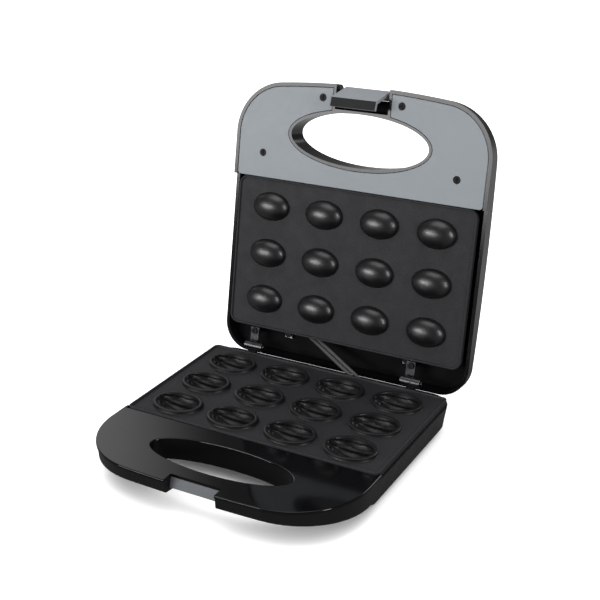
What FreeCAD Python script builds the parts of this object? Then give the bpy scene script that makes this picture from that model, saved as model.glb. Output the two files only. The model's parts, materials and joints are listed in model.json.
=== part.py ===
import FreeCAD, Part
import math
import os
import re
import Sketcher

# Every driving size, in millimetres and degrees; a text that starts with = is worked out from the others
SIZES = {
    # Fits and cuts
    "overrun": 2.0,
    "seat_gap": 0.3,
    "pin_clearance": 0.05,
    "screw_clearance": 0.25,
    # Mould pattern: four oval moulds a row, three rows
    "pitch_x": 52.0,
    "pitch_y": 41.67,
    "cavity_half_length": 19.5,
    "cavity_radius": 15.0,
    "cavity_wall": 2.0,
    "cavity_lift": 1.0,
    "pierce_inset": 0.4,
    "collar_height": 3.0,
    "collar_width": 1.8,
    "groove_depth": 0.9,
    "groove_angle": 20.0,
    "dome_half_length": 17.6,
    "dome_half_width": 12.6,
    "dome_height": 9.5,
    "dome_wall": 2.5,
    # Cooking plates
    "plate_side_margin": 14.1,
    "plate_front_margin": 8.1,
    "plate_rear_margin": 11.5,
    "plate_thickness": 3.0,
    "plate_corner": 4.0,
    "lid_plate_corner": 8.0,
    "plate_side_gap": 0.5,
    "rim_height": 1.5,
    "rim_width": 1.8,
    "post_radius": 4.0,
    "post_margin": 1.4,
    "half_width": "=1.5 * pitch_x + cavity_half_length + plate_side_margin",
    "plate_front": "=pitch_y + cavity_radius + plate_front_margin",
    "plate_rear": "=pitch_y + cavity_radius + plate_rear_margin",
    "post_y": "=pitch_y + cavity_radius + post_margin",
    # Heights above the table
    "foot_height": 4.0,
    "base_height": 22.5,
    "plate_stand": 3.5,
    "base_rim": "=foot_height + base_height",
    "plate_face": "=base_rim + plate_stand",
    "lid_face": "=plate_face + 2 * rim_height + seat_gap",
    "lid_rim": "=plate_face + rim_height + seat_gap",
    # Walls
    "housing_wall": 2.5,
    "floor_wall": 2.5,
    # Base pan
    "pan_inset": 1.9,
    "pan_front_space": 7.2,
    "pan_rear_space": 10.8,
    "pan_corner": 20.0,
    "pan_front_corner": 8.0,
    "pan_draft": 9.0,
    "pan_edge_radius": 5.0,
    "pan_half_width": "=half_width + pan_inset",
    "pan_front": "=plate_front + pan_front_space",
    "pan_rear": "=plate_rear + pan_rear_space",
    # Base handle
    "handle_flare": 0.5,
    "handle_reach": 78.6,
    "handle_depth": 12.0,
    "handle_slope": 6.8,
    "handle_stand": 0.5,
    "handle_corner_share": 0.763,
    "handle_rear_corner": 3.0,
    "handle_bow": 1000.0,
    "handle_draft": 3.0,
    "handle_edge_radius": 3.0,
    "handle_wing": 3.8,
    "cover_thickness": 2.2,
    "cover_lip": 0.8,
    "cover_edge_radius": 1.0,
    "handle_half_width": "=pan_half_width + handle_flare",
    "handle_front": "=plate_front + handle_reach",
    "handle_corner": "=handle_reach * handle_corner_share",
    "handle_top": "=plate_face + handle_stand",
    "handle_bottom": "=handle_top - handle_depth",
    "cover_bottom": "=handle_top - cover_thickness",
    # Base grip hole
    "grip_half_length": 61.0,
    "grip_wall": 2.5,
    "grip_roll": 1.0,
    "grip_setback_share": 0.463,
    "grip_front_margin": 12.3,
    "grip_setback": "=handle_reach * grip_setback_share",
    "grip_half_width": "=handle_reach - catch_setback - grip_front_margin - grip_setback",
    "grip_y": "=-(plate_front + grip_setback)",
    # Catch and its notch in the base handle
    "catch_notch_half_width": 21.8,
    "catch_setback": 10.4,
    "catch_drop": 10.0,
    "catch_depth": 4.5,
    "catch_nose": 3.0,
    "catch_nose_share": 0.05,
    "catch_y": "=-(handle_front - catch_setback)",
    "catch_bottom": "=handle_top - catch_drop",
    # Hinge
    "hinge_reach": 6.4,
    "hinge_rise": 2.5,
    "hinge_spread": 76.75,
    "hinge_shift": 5.2,
    "knuckle_radius": 4.0,
    "knuckle_length": 8.5,
    "hinge_gap": 0.4,
    "hinge_pin_radius": 1.5,
    "pin_head_radius": 2.4,
    "pin_head_length": 1.0,
    "leaf_thickness": 1.6,
    "leaf_width": 8.0,
    "leaf_length": 15.4,
    "leg_length": 14.0,
    "leg_setback": 9.6,
    "leaf_rise": 7.2,
    "leaf_screw_inset": 3.2,
    "leg_screw_inset": 4.0,
    "open_angle": 100.9,
    "hinge_y": "=pan_rear + hinge_reach",
    "hinge_z": "=base_rim + hinge_rise",
    "leg_y": "=pan_rear - leg_setback",
    "leaf_top": "=hinge_z + leaf_rise",
    "lid_leaf_screw_y": "=hinge_y - leaf_length + leaf_screw_inset",
    "bracket_screw_z": "=hinge_z - leg_length + leg_screw_inset",
    # Lid shell
    "lid_overhang": 4.5,
    "lid_front_overhang": 10.1,
    "lid_tail": 8.1,
    "lid_height": 26.2,
    "lid_wall": 3.0,
    "lid_step": 4.7,
    "lid_draft": 3.0,
    "lid_front_corner": 46.0,
    "lid_rear_corner": 25.0,
    "lid_bow": 740.0,
    "crown_radius": 820.0,
    "crown_shift": 12.0,
    "lid_edge_radius": 7.0,
    "lid_half_width": "=pan_half_width + lid_overhang",
    "lid_front": "=handle_front + lid_front_overhang",
    "lid_rear": "=hinge_y + lid_tail",
    "lid_top": "=lid_rim + lid_height",
    "hollow_top": "=lid_top - lid_wall",
    # Lid handle panel and grip hole
    "panel_gap": 0.6,
    "panel_thickness": 3.0,
    "panel_edge_radius": 0.5,
    "panel_rear_gap": 1.7,
    "panel_corner": 3.0,
    "lid_grip_half_length": 63.6,
    "lid_grip_wall": 2.6,
    "lid_grip_setback_share": 0.548,
    "lid_grip_setback": "=handle_reach * lid_grip_setback_share",
    "lid_grip_half_width": "=lid_front - latch_notch_setback - latch_wall - plate_front - lid_grip_setback",
    "lid_grip_y": "=-(plate_front + lid_grip_setback)",
    "panel_back": "=lid_rim + panel_thickness",
    # Screws: head and shank
    "screw_head_radius": 3.1,
    "screw_head_height": 1.6,
    "screw_radius": 1.5,
    "screw_length": 9.0,
    "screw_recess": 0.6,
    "boss_radius": 3.6,
    "small_head_radius": 2.9,
    "small_screw_length": 4.5,
    "slot_length": 3.4,
    "slot_width": 0.8,
    "slot_depth": 0.9,
    "outer_screw_x": 90.2,
    "outer_screw_setback": 23.0,
    "inner_screw_x": 36.2,
    "inner_screw_inset": 12.8,
    "inner_screw_setback": "=lid_front - plate_front - inner_screw_inset",
    # Latch
    "latch_notch_half_width": 24.4,
    "latch_notch_setback": 21.2,
    "latch_wall": 2.2,
    "latch_half_width": 20.6,
    "latch_setback": 6.5,
    "latch_depth": 3.792,
    "latch_barrel_radius": 4.2,
    "latch_thickness": 2.6,
    "latch_lean": 28.8,
    "latch_swing": 12.0,
    "latch_lip_thickness": 3.0,
    "latch_lip_reach": 3.0,
    "latch_pin_radius": 1.5,
    "latch_edge_radius": 0.5,
    "latch_roof_gap": 0.4,
    "latch_roof_rise": 2.4,
    "latch_y": "=-(lid_front - latch_setback)",
    "latch_drop": "=(lid_front - latch_setback - crown_shift)^2 / (2 * crown_radius) + latch_depth",
    "latch_z": "=lid_top - latch_drop",
    "latch_roof": "=latch_z + latch_roof_rise",
    # Heating elements
    "element_radius": 3.0,
    "element_end": 100.0,
    "pin_terminal_radius": 1.5,
    "pin_terminal_length": 6.0,
    "element_y": "=pitch_y / 2",
    # Reflectors
    "reflector_thickness": 0.8,
    "reflector_flange": 3.0,
    "reflector_margin": 12.0,
    "reflector_gap": 2.2,
    "reflector_corner": 10.0,
    "base_screw_bite": 7.0,
    "reflector_half_width": "=half_width - reflector_margin",
    "bowl_bottom": "=plate_face + collar_height + cavity_lift - cavity_radius - cavity_wall",
    "reflector_top": "=bowl_bottom - reflector_gap",
    "reflector_bottom": "=reflector_top - reflector_thickness",
    "base_screw_tip": "=reflector_top + base_screw_bite",
    "lid_reflector_rise": 11.2,
    "lid_reflector_bottom": "=lid_face + plate_thickness + lid_reflector_rise",
    "lid_reflector_top": "=lid_reflector_bottom + reflector_thickness",
    "reflector_lip": 1.0,
    "flange_x": 58.0,
    "flange_reach": 5.0,
    "flange_inset": 20.0,
    # Feet
    "foot_radius": 7.5,
    "foot_recess": 1.0,
    "foot_x": 86.0,
    "foot_rear_inset": 18.5,
    "foot_front_inset": 20.0,
    "foot_edge_radius": 1.0,
    # Inner parts
    "block_length": 22.0,
    "block_width": 9.0,
    "block_height": 10.0,
    "block_channel": 3.4,
    "block_ledge": 3.1,
    "block_setback": 10.4,
    "block_x": "=lead_low_x + lead_spread / 2",
    "block_y": "=pan_rear - block_setback",
    "block_bottom": "=foot_height + floor_wall + block_ledge + seat_gap",
    "thermostat_length": 20.0,
    "thermostat_width": 8.0,
    "thermostat_height": 8.0,
    "thermostat_inset": 2.8,
    "blade_width": 4.0,
    "blade_thickness": 0.8,
    "blade_length": 4.0,
    "fuse_inset": 6.6,
    "fuse_radius": 2.0,
    "fuse_length": 14.0,
    "fuse_y": 38.0,
    "gland_width": 15.0,
    "gland_height": 11.0,
    "gland_length": 9.0,
    "gland_stand": 4.0,
    "gland_hole_radius": 3.2,
    "gland_x": -40.0,
    "gland_rise": 9.5,
    "gland_lip": 1.5,
    "lamp_radius": 3.2,
    "lamp_flange_radius": 4.4,
    "lamp_flange_height": 1.2,
    "lamp_length": 7.0,
    "lamp_spread": 12.0,
    "lamp_y": 62.0,
    "lamp_stand": 0.8,
    "lamp_top": "=lid_top - lamp_drop + lamp_stand",
    "lamp_drop": 1.6,
    # Linking leads
    "lead_radius": 1.5,
    "lead_spread": 7.0,
    "lead_bend": 9.5,
    "lead_top_x": -38.4,
    "lead_turn_inset": 0.9,
    "lead_rise": 4.7,
    "lead_low_x": 23.2,
    "lead_low_z": 28.3,
    "lead_low_gap": 3.3,
    "clamp_length": 16.0,
    "clamp_width": 5.0,
    "clamp_height": 8.6,
    "clamp_setback": 8.7,
    "clamp_x": "=lead_top_x + lead_spread / 2",
    "clamp_rear": "=plate_rear - clamp_setback",
    "clamp_bottom": "=lid_face + plate_thickness + seat_gap",
    # Place of the mould pattern's centre, so that the open appliance is centred on the origin
    "grid_y": -2.11,
    # Open lid: where turning about the hinge takes the appliance's own origin
    "lid_shift_y": "=grid_y + hinge_y - hinge_y * cos(open_angle) - hinge_z * sin(open_angle)",
    "lid_shift_z": "=hinge_z + hinge_y * sin(open_angle) - hinge_z * cos(open_angle)",
}

COLUMN_SHARES = (-1.5, -0.5, 0.5, 1.5)
ROW_SHARES = (-1, 0, 1)
GROOVES = 5
X_AXIS = FreeCAD.Vector(1, 0, 0)
Y_AXIS = FreeCAD.Vector(0, 1, 0)
Z_AXIS = FreeCAD.Vector(0, 0, 1)

document = FreeCAD.newDocument("MouldMaker")
sheet = document.addObject("Spreadsheet::Sheet", "Sizes")
for row, (alias, size) in enumerate(SIZES.items(), start=1):
    sheet.set(f"A{row}", alias)
    sheet.set(f"B{row}", str(size))
    sheet.setAlias(f"B{row}", alias)
document.recompute()

nodes = {}


# Formulas

def bound(formula):
    """Points every size name in a formula at the sheet."""
    return re.sub(r"[a-z]\w*", lambda word: f"Sizes.{word.group()}"
                  if word.group() in SIZES else word.group(), formula)


def value(formula):
    """The number that a formula of sizes gives."""
    return float(sheet.evalExpression(formula))


def bind(thing, **formulas):
    for name, formula in formulas.items():
        thing.setExpression(name, bound(formula))
    return thing


def put(thing, x="0", y="0", z="0", axis=Z_AXIS, angle=0):
    """Places a thing; its turn is fixed and its position follows the sheet."""
    thing.Placement = FreeCAD.Placement(FreeCAD.Vector(), FreeCAD.Rotation(axis, angle))
    for letter, formula in zip("xyz", (x, y, z)):
        thing.setExpression(f"Placement.Base.{letter}", bound(formula))
    return thing


# Part primitives and booleans

def box(name, low, high):
    """A box between two corners, each given as three formulas."""
    block = document.addObject("Part::Box", name)
    spans = [f"({top}) - ({bottom})" for bottom, top in zip(low, high)]
    bind(block, Length=spans[0], Width=spans[1], Height=spans[2])
    return put(block, *low)


def rod(name, radius, length, x, y, z, axis=Z_AXIS, angle=0):
    """A cylinder that starts at a point and runs along Z, or along a turned Z."""
    cylinder = document.addObject("Part::Cylinder", name)
    bind(cylinder, Radius=radius, Height=length)
    return put(cylinder, x, y, z, axis, angle)


def rod_along_x(name, radius, low, high, y, z):
    return rod(name, radius, f"({high}) - ({low})", low, y, z, Y_AXIS, 90)


def oval(name, half_length, half_width, low, high, y):
    """An upright oval bar, its long axis along X."""
    ring = document.addObject("Part::Ellipse", name + "_edge")
    bind(ring, MajorRadius=half_length, MinorRadius=half_width)
    put(ring, "0", y, low)
    bar = document.addObject("Part::Extrusion", name)
    bar.Base = ring
    bar.DirMode = "Custom"
    bar.Dir = Z_AXIS
    bar.Solid = True
    return bind(bar, LengthFwd=f"({high}) - ({low})")


def fuse(name, *things):
    joined = document.addObject("Part::MultiFuse", name)
    joined.Shapes = list(things)
    return joined


def cut(name, base, *tools):
    """Takes the tools, joined where there are several, out of the base."""
    result = document.addObject("Part::Cut", name)
    result.Base = base
    result.Tool = tools[0] if len(tools) == 1 else fuse(name + "_tools", *tools)
    return result


def group(name, *things):
    """Separate solids kept side by side in one sub-part."""
    bundle = document.addObject("Part::Compound", name)
    bundle.Links = list(things)
    return bundle


def rounded(name, base, radius, wanted):
    """Rounds the edges of a solid that a test picks by their box."""
    document.recompute()
    fillet = document.addObject("Part::Fillet", name)
    fillet.Base = base
    size = value(radius)
    picked = [number for number, edge in enumerate(base.Shape.Edges, start=1) if wanted(edge.BoundBox)]
    fillet.Edges = [(number, size, size) for number in picked]
    return fillet


# Sketched blocks

def new_sketch(body, name, plane, lift="0"):
    """A sketch on one of the body's own planes, raised along the plane's normal."""
    sketch = body.newObject("Sketcher::SketchObject", name)
    origin_plane = next(item for item in body.Origin.OriginFeatures if item.Role == plane)
    sketch.AttachmentSupport = [(origin_plane, "")]
    sketch.MapMode = "FlatFace"
    sketch.setExpression("AttachmentOffset.Base.z", bound(lift))
    return sketch


def measured(sketch, kind, formula, *places):
    """A dimension of the sketch that follows the sheet."""
    number = sketch.addConstraint(Sketcher.Constraint(kind, *places, value(formula)))
    sketch.setExpression(f"Constraints[{number}]", bound(formula))


def outline(sketch, half_width, rear, front, rear_radius, front_radius, bow_radius=None):
    """A plan outline with rounded corners, straight at the back, straight or gently bowed at the front."""
    side, back, ahead = value(half_width), value(rear), value(front)
    near, far = value(rear_radius), value(front_radius)
    if bow_radius:
        bow = value(bow_radius)
        corner_y = ahead + bow - math.sqrt((bow - far) ** 2 - (side - far) ** 2)
        bow_turn = math.asin((side - far) / (bow - far))
        touch = FreeCAD.Vector(bow * math.sin(bow_turn), ahead + bow - bow * math.cos(bow_turn), 0)
    else:
        corner_y = ahead + far
        bow_turn = 0
        touch = FreeCAD.Vector(side - far, ahead, 0)
    quarter = math.pi / 2
    mirrored_touch = FreeCAD.Vector(-touch.x, touch.y, 0)

    def point(x, y):
        return FreeCAD.Vector(x, y, 0)

    def arc(x, y, radius, start, end):
        return Part.ArcOfCircle(Part.Circle(point(x, y), Z_AXIS, radius), start, end)

    sketch.addGeometry([
        Part.LineSegment(point(near - side, back), point(side - near, back)),
        arc(side - near, back - near, near, 0, quarter),
        Part.LineSegment(point(side, back - near), point(side, corner_y)),
        arc(side - far, corner_y, far, bow_turn - quarter, 0),
        arc(0, ahead + bow, bow, -quarter - bow_turn, bow_turn - quarter) if bow_radius
        else Part.LineSegment(mirrored_touch, touch),
        arc(far - side, corner_y, far, 2 * quarter, 3 * quarter - bow_turn),
        Part.LineSegment(point(-side, corner_y), point(-side, back - near)),
        arc(near - side, back - near, near, quarter, 2 * quarter),
    ])
    joints = ((0, 2, 1, 2), (1, 1, 2, 1), (2, 2, 3, 2), (3, 1, 4, 2), (4, 1, 5, 2), (5, 1, 6, 1),
              (6, 2, 7, 2), (7, 1, 0, 1))
    sketch.addConstraint([Sketcher.Constraint("Tangent", *ends) for ends in joints])
    sketch.addConstraint([Sketcher.Constraint("Vertical", 2), Sketcher.Constraint("Vertical", 6)])
    sketch.addConstraint([Sketcher.Constraint("Horizontal", 0), Sketcher.Constraint("Equal", 1, 7)])
    sketch.addConstraint(Sketcher.Constraint("Equal", 3, 5))
    measured(sketch, "Radius", rear_radius, 1)
    measured(sketch, "Radius", front_radius, 3)
    measured(sketch, "DistanceX", half_width, -1, 1, 2, 1)
    measured(sketch, "DistanceX", f"-({half_width})", -1, 1, 6, 2)
    measured(sketch, "DistanceY", rear, -1, 1, 0, 1)
    if bow_radius:
        measured(sketch, "Radius", bow_radius, 4)
        sketch.addConstraint(Sketcher.Constraint("PointOnObject", 4, 3, -2))
        measured(sketch, "DistanceY", f"{front} + {bow_radius}", -1, 1, 4, 3)
    else:
        sketch.addConstraint(Sketcher.Constraint("Horizontal", 4))
        measured(sketch, "DistanceY", front, -1, 1, 4, 1)


def slab(name, low, height, draft="0", **plan):
    """A block on a plan outline, padded up from a level with a draft on its walls."""
    body = document.addObject("PartDesign::Body", name)
    sketch = new_sketch(body, name + "_outline", "XY_Plane", low)
    outline(sketch, **plan)
    pad = body.newObject("PartDesign::Pad", name + "_pad")
    pad.Profile = sketch
    bind(pad, Length=height, TaperAngle=draft)
    sketch.Visibility = False
    return body


def round_edges(body, radius, wanted):
    """Adds a rounding feature to a body, on the edges that a test picks by their box."""
    document.recompute()
    tip = body.Tip
    picked = [f"Edge{number}" for number, edge in enumerate(tip.Shape.Edges, start=1)
              if wanted(edge.BoundBox)]
    fillet = body.newObject("PartDesign::Fillet", body.Name + "_rounding")
    fillet.Base = (tip, picked)
    bind(fillet, Radius=radius)
    return body


def level(height, tolerance=0.01):
    """A test for edges that lie flat at one height."""
    return lambda edge_box: max(abs(edge_box.ZMin - height), abs(edge_box.ZMax - height)) < tolerance


def crown(body, top):
    """Cuts the top of a lid block down to a gentle arch that runs from back to front."""
    sketch = new_sketch(body, body.Name + "_crown", "YZ_Plane", "0")
    radius, middle, peak = value("crown_radius"), value("-crown_shift"), value(top)
    reach = value("lid_front + overrun")
    spare = value(f"{top} + lid_height")
    half_turn = math.asin(reach / radius)
    shoulder = peak - radius + radius * math.cos(half_turn)

    def point(y, z):
        return FreeCAD.Vector(y, z, 0)

    arch = Part.Circle(point(middle, peak - radius), Z_AXIS, radius)
    left, right = middle - reach, middle + reach
    sketch.addGeometry([
        Part.ArcOfCircle(arch, math.pi / 2 - half_turn, math.pi / 2 + half_turn),
        Part.LineSegment(point(left, shoulder), point(left, spare)),
        Part.LineSegment(point(left, spare), point(right, spare)),
        Part.LineSegment(point(right, spare), point(right, shoulder)),
    ])
    for first, first_end, second, second_end in ((0, 2, 1, 1), (1, 2, 2, 1), (2, 2, 3, 1), (3, 2, 0, 1)):
        sketch.addConstraint(Sketcher.Constraint("Coincident", first, first_end, second, second_end))
    sketch.addConstraint([Sketcher.Constraint("Vertical", 1), Sketcher.Constraint("Horizontal", 2)])
    sketch.addConstraint(Sketcher.Constraint("Vertical", 3))
    measured(sketch, "Radius", "crown_radius", 0)
    measured(sketch, "DistanceX", "-crown_shift", -1, 1, 0, 3)
    measured(sketch, "DistanceY", f"{top} - crown_radius", -1, 1, 0, 3)
    measured(sketch, "DistanceX", "-crown_shift - lid_front - overrun", -1, 1, 1, 1)
    measured(sketch, "DistanceX", "-crown_shift + lid_front + overrun", -1, 1, 3, 1)
    measured(sketch, "DistanceY", f"{top} + lid_height", -1, 1, 2, 1)
    pocket = body.newObject("PartDesign::Pocket", body.Name + "_arch")
    pocket.Profile = sketch
    pocket.Type = "ThroughAll"
    pocket.Midplane = True
    return body


# Sub-parts: each is named, placed and kept for export

def keep(thing, node, carrier="base"):
    """Names a finished sub-part; lid pieces are drawn closed and turned open about the hinge."""
    thing.Label = node
    if carrier == "base":
        put(thing, "0", "grid_y", "0")
    else:
        put(thing, "0", "lid_shift_y", "lid_shift_z", X_AXIS, -value("open_angle"))
        thing.setExpression("Placement.Rotation.Angle", bound("-open_angle"))
    nodes[node] = thing


def mould_centres():
    return [(f"{column} * pitch_x", f"{line} * pitch_y") for line in ROW_SHARES for column in COLUMN_SHARES]


def fixed_shape(name, shape):
    """A sub-part whose shape comes from this file's own code, for forms that the features don't offer."""
    feature = document.addObject("Part::Feature", name)
    feature.Shape = Part.Compound([shape])
    return feature


def lens_face(half_length, radius):
    """The upper half of an ellipse along X, to be spun about X."""
    curve = Part.Ellipse(FreeCAD.Vector(), half_length, radius)
    upper = Part.ArcOfEllipse(curve, 0, math.pi).toShape()
    chord = Part.makeLine(upper.Vertexes[-1].Point, upper.Vertexes[0].Point)
    return Part.Face(Part.Wire([upper, chord]))


def walnut_bowl():
    """The hollow of one mould: a whole nut along X, with raised grooves round its lower half."""
    inner = lens_face(value("cavity_half_length - groove_depth"), value("cavity_radius - groove_depth"))
    outer = lens_face(value("cavity_half_length"), value("cavity_radius"))
    nut = inner.revolve(FreeCAD.Vector(), X_AXIS, 360)
    angle = value("groove_angle")
    step = 180 / (GROOVES + 1)
    grooves = []
    for number in range(1, GROOVES + 1):
        start = outer.rotated(FreeCAD.Vector(), X_AXIS, 180 + number * step - angle / 2)
        grooves.append(start.revolve(FreeCAD.Vector(), X_AXIS, angle))
    return nut.fuse(grooves)


def oval_face(extra):
    """A flat oval, larger than a mould's mouth by a margin all round."""
    edge = Part.Ellipse(FreeCAD.Vector(), value("cavity_half_length") + extra, value("cavity_radius") + extra)
    return Part.Face(Part.Wire(edge.toShape()))


def cup():
    """One mould with its outside and collar, drawn from the middle of the collar's top; the nut's axis is higher."""
    wall = value("cavity_wall")
    span = value("pitch_x")
    lift = FreeCAD.Vector(0, 0, value("cavity_lift"))
    profile = lens_face(value("cavity_half_length") + wall, value("cavity_radius") + wall)
    nut = profile.revolve(FreeCAD.Vector(), X_AXIS, 360)
    low_corner = FreeCAD.Vector(-span / 2, -span / 2, -span - value("collar_height"))
    below = Part.makeBox(span, span, span, low_corner)
    depth = value("collar_height + plate_thickness / 2")
    collar = oval_face(value("collar_width")).extrude(FreeCAD.Vector(0, 0, -depth))
    return nut.translated(lift).common(below).fuse(collar).cut(walnut_bowl().translated(lift))


def spread(shape, height):
    """Copies of one shape at every mould, as one compound."""
    copies = []
    for x, y in mould_centres():
        copies.append(shape.translated(FreeCAD.Vector(value(x), value(y), height)))
    return Part.Compound(copies)


def plate_plan(inset="0", corner="plate_corner"):
    return {
        "half_width": f"half_width - ({inset})",
        "rear": f"plate_rear - ({inset})",
        "front": f"-plate_front + ({inset})",
        "rear_radius": f"{corner} - ({inset})",
        "front_radius": f"{corner} - ({inset})",
    }


# Cooking plates

def plate_slab(name, low, corner):
    return slab(name, low, "plate_thickness", **plate_plan(corner=corner))


def rim_frame(name, low, high, corner):
    """The low wall that runs round the edge of a plate."""
    outer = slab(name + "_outer", low, f"({high}) - ({low})", **plate_plan(corner=corner))
    inner = slab(name + "_inner", f"({low}) - overrun", f"({high}) - ({low}) + 2 * overrun",
                 **plate_plan("rim_width", corner))
    return cut(name, outer, inner)


def posts(name, radius, low, high, y="post_y"):
    """Four pillars between the columns, ahead of and behind the moulds."""
    return [rod(f"{name}_{side}_{end}", radius, f"({high}) - ({low})", f"{side} * pitch_x", f"{end} * ({y})",
                low)
            for side in (-1, 1) for end in (-1, 1)]


def make_base_cook_plate():
    """The lower plate: a rimmed slab with twelve collared, ribbed half-nut bowls."""
    top = value("plate_face + collar_height")
    cups = fixed_shape("cups", spread(cup(), top))
    hole = oval_face(value("-pierce_inset")).extrude(FreeCAD.Vector(0, 0,
                                                                    value("plate_thickness + 2 * overrun")))
    holes = fixed_shape("cup_holes", spread(hole, value("plate_face - plate_thickness - overrun")))
    pierced = cut("base_plate_pierced", plate_slab("base_plate_slab", "plate_face - plate_thickness",
                                                   "plate_corner"), holes)
    solid = fuse(
        "base_plate_solid",
        pierced,
        rim_frame("base_plate_rim", "plate_face - plate_thickness / 2", "plate_face + rim_height",
                  "plate_corner"),
        cups,
        *posts("base_plate_post", "post_radius", "reflector_top", "plate_face - plate_thickness / 2"),
    )
    sockets = posts("base_plate_socket", "screw_radius + pin_clearance", "reflector_top - overrun",
                    "base_screw_tip")
    keep(cut("base_plate_part", solid, *sockets), "base_cook_plate")


def dome_solid(extra_length, extra_width, height):
    """Half an egg that hangs below the plate's face, with its long axis along X."""
    half = lens_face(extra_length, extra_width).revolve(FreeCAD.Vector(), X_AXIS, 180)
    squash = FreeCAD.Matrix()
    squash.scale(1, 1, height / extra_width)
    turned = half.transformGeometry(squash)
    return turned if turned.BoundBox.ZMin < -height / 2 else turned.rotated(FreeCAD.Vector(), X_AXIS, 180)


def make_lid_cook_plate():
    """The upper plate: a rimmed slab with twelve smooth domes, hollow from behind."""
    length, width, height = value("dome_half_length"), value("dome_half_width"), value("dome_height")
    wall = value("dome_wall")
    domes = fixed_shape("domes", spread(dome_solid(length, width, height), value("lid_face")))
    hollow = dome_solid(length - wall, width - wall, height - wall)
    mouth = Part.Face(Part.Wire(Part.Ellipse(FreeCAD.Vector(), length - wall, width - wall).toShape()))
    hollow = hollow.fuse(mouth.extrude(FreeCAD.Vector(0, 0, value("plate_thickness + overrun"))))
    hollows = fixed_shape("dome_hollows", spread(hollow, value("lid_face")))
    solid = fuse(
        "lid_plate_solid",
        plate_slab("lid_plate_slab", "lid_face", "lid_plate_corner"),
        rim_frame("lid_plate_rim", "lid_rim", "lid_face + plate_thickness / 2", "lid_plate_corner"),
        domes,
        *posts("lid_plate_post", "post_radius", "lid_face + plate_thickness / 2", "lid_reflector_bottom"),
    )
    sockets = posts("lid_plate_socket", "screw_radius + pin_clearance", "lid_face + plate_thickness",
                    "lid_reflector_bottom + overrun")
    keep(cut("lid_plate_part", solid, hollows, *sockets), "lid_cook_plate", "lid")


# Base housing

def handle_plan(inset, rear):
    return {
        "half_width": f"handle_half_width - ({inset})",
        "rear": rear,
        "front": f"-handle_front + ({inset})",
        "rear_radius": "handle_rear_corner",
        "front_radius": f"handle_corner - ({inset})",
        "bow_radius": f"handle_bow - ({inset})",
    }


def pan_plan(inset):
    return {
        "half_width": f"pan_half_width - ({inset})",
        "rear": f"pan_rear - ({inset})",
        "front": f"-pan_front + ({inset})",
        "rear_radius": f"pan_corner - ({inset})",
        "front_radius": f"pan_front_corner - ({inset})",
    }


def tapered(name, low, height, draft, drop, **plan):
    """A block whose plan is given at its top and whose walls draw in on the way down."""
    body = document.addObject("PartDesign::Body", name)
    sketch = new_sketch(body, name + "_outline", "XY_Plane", f"({low}) + ({height})")
    outline(sketch, **plan)
    pad = body.newObject("PartDesign::Pad", name + "_pad")
    pad.Profile = sketch
    pad.Reversed = True
    bind(pad, Length=height, TaperAngle=f"-({draft})")
    sketch.Visibility = False
    if drop:
        round_edges(body, drop, level(value(low)))
    return body


def below_handle(name, lift="0"):
    """The space under the handle's sloped underside, or under a plane parallel to it."""
    block = document.addObject("Part::Box", name)
    bind(block, Length="2 * (handle_half_width + overrun)", Width="2 * handle_reach", Height="handle_reach")
    y = "-handle_front - overrun - handle_reach * sin(handle_slope)"
    z = f"handle_bottom + {lift} + overrun * tan(handle_slope) - handle_reach * cos(handle_slope)"
    put(block, "-handle_half_width - overrun", y, z, X_AXIS, -value("handle_slope"))
    block.setExpression("Placement.Rotation.Angle", bound("-handle_slope"))
    return block


def on_underside(edge_box, tolerance=0.05):
    """Tells whether an edge lies in the handle's sloped underside."""
    fall = value("tan(handle_slope)")
    front_level = value("handle_bottom - handle_front * tan(handle_slope)")
    high = front_level - edge_box.YMin * fall
    low = front_level - edge_box.YMax * fall
    return abs(edge_box.ZMax - high) < tolerance and abs(edge_box.ZMin - low) < tolerance


def notch(name, half_width, rear, front, low, high, grow="0"):
    """The slot that the latch drops into, or with a wall's growth, the block that lines it."""
    return box(name, (f"-({half_width}) - ({grow})", front, low),
               (f"{half_width} + {grow}", f"{rear} + {grow}", high))


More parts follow.
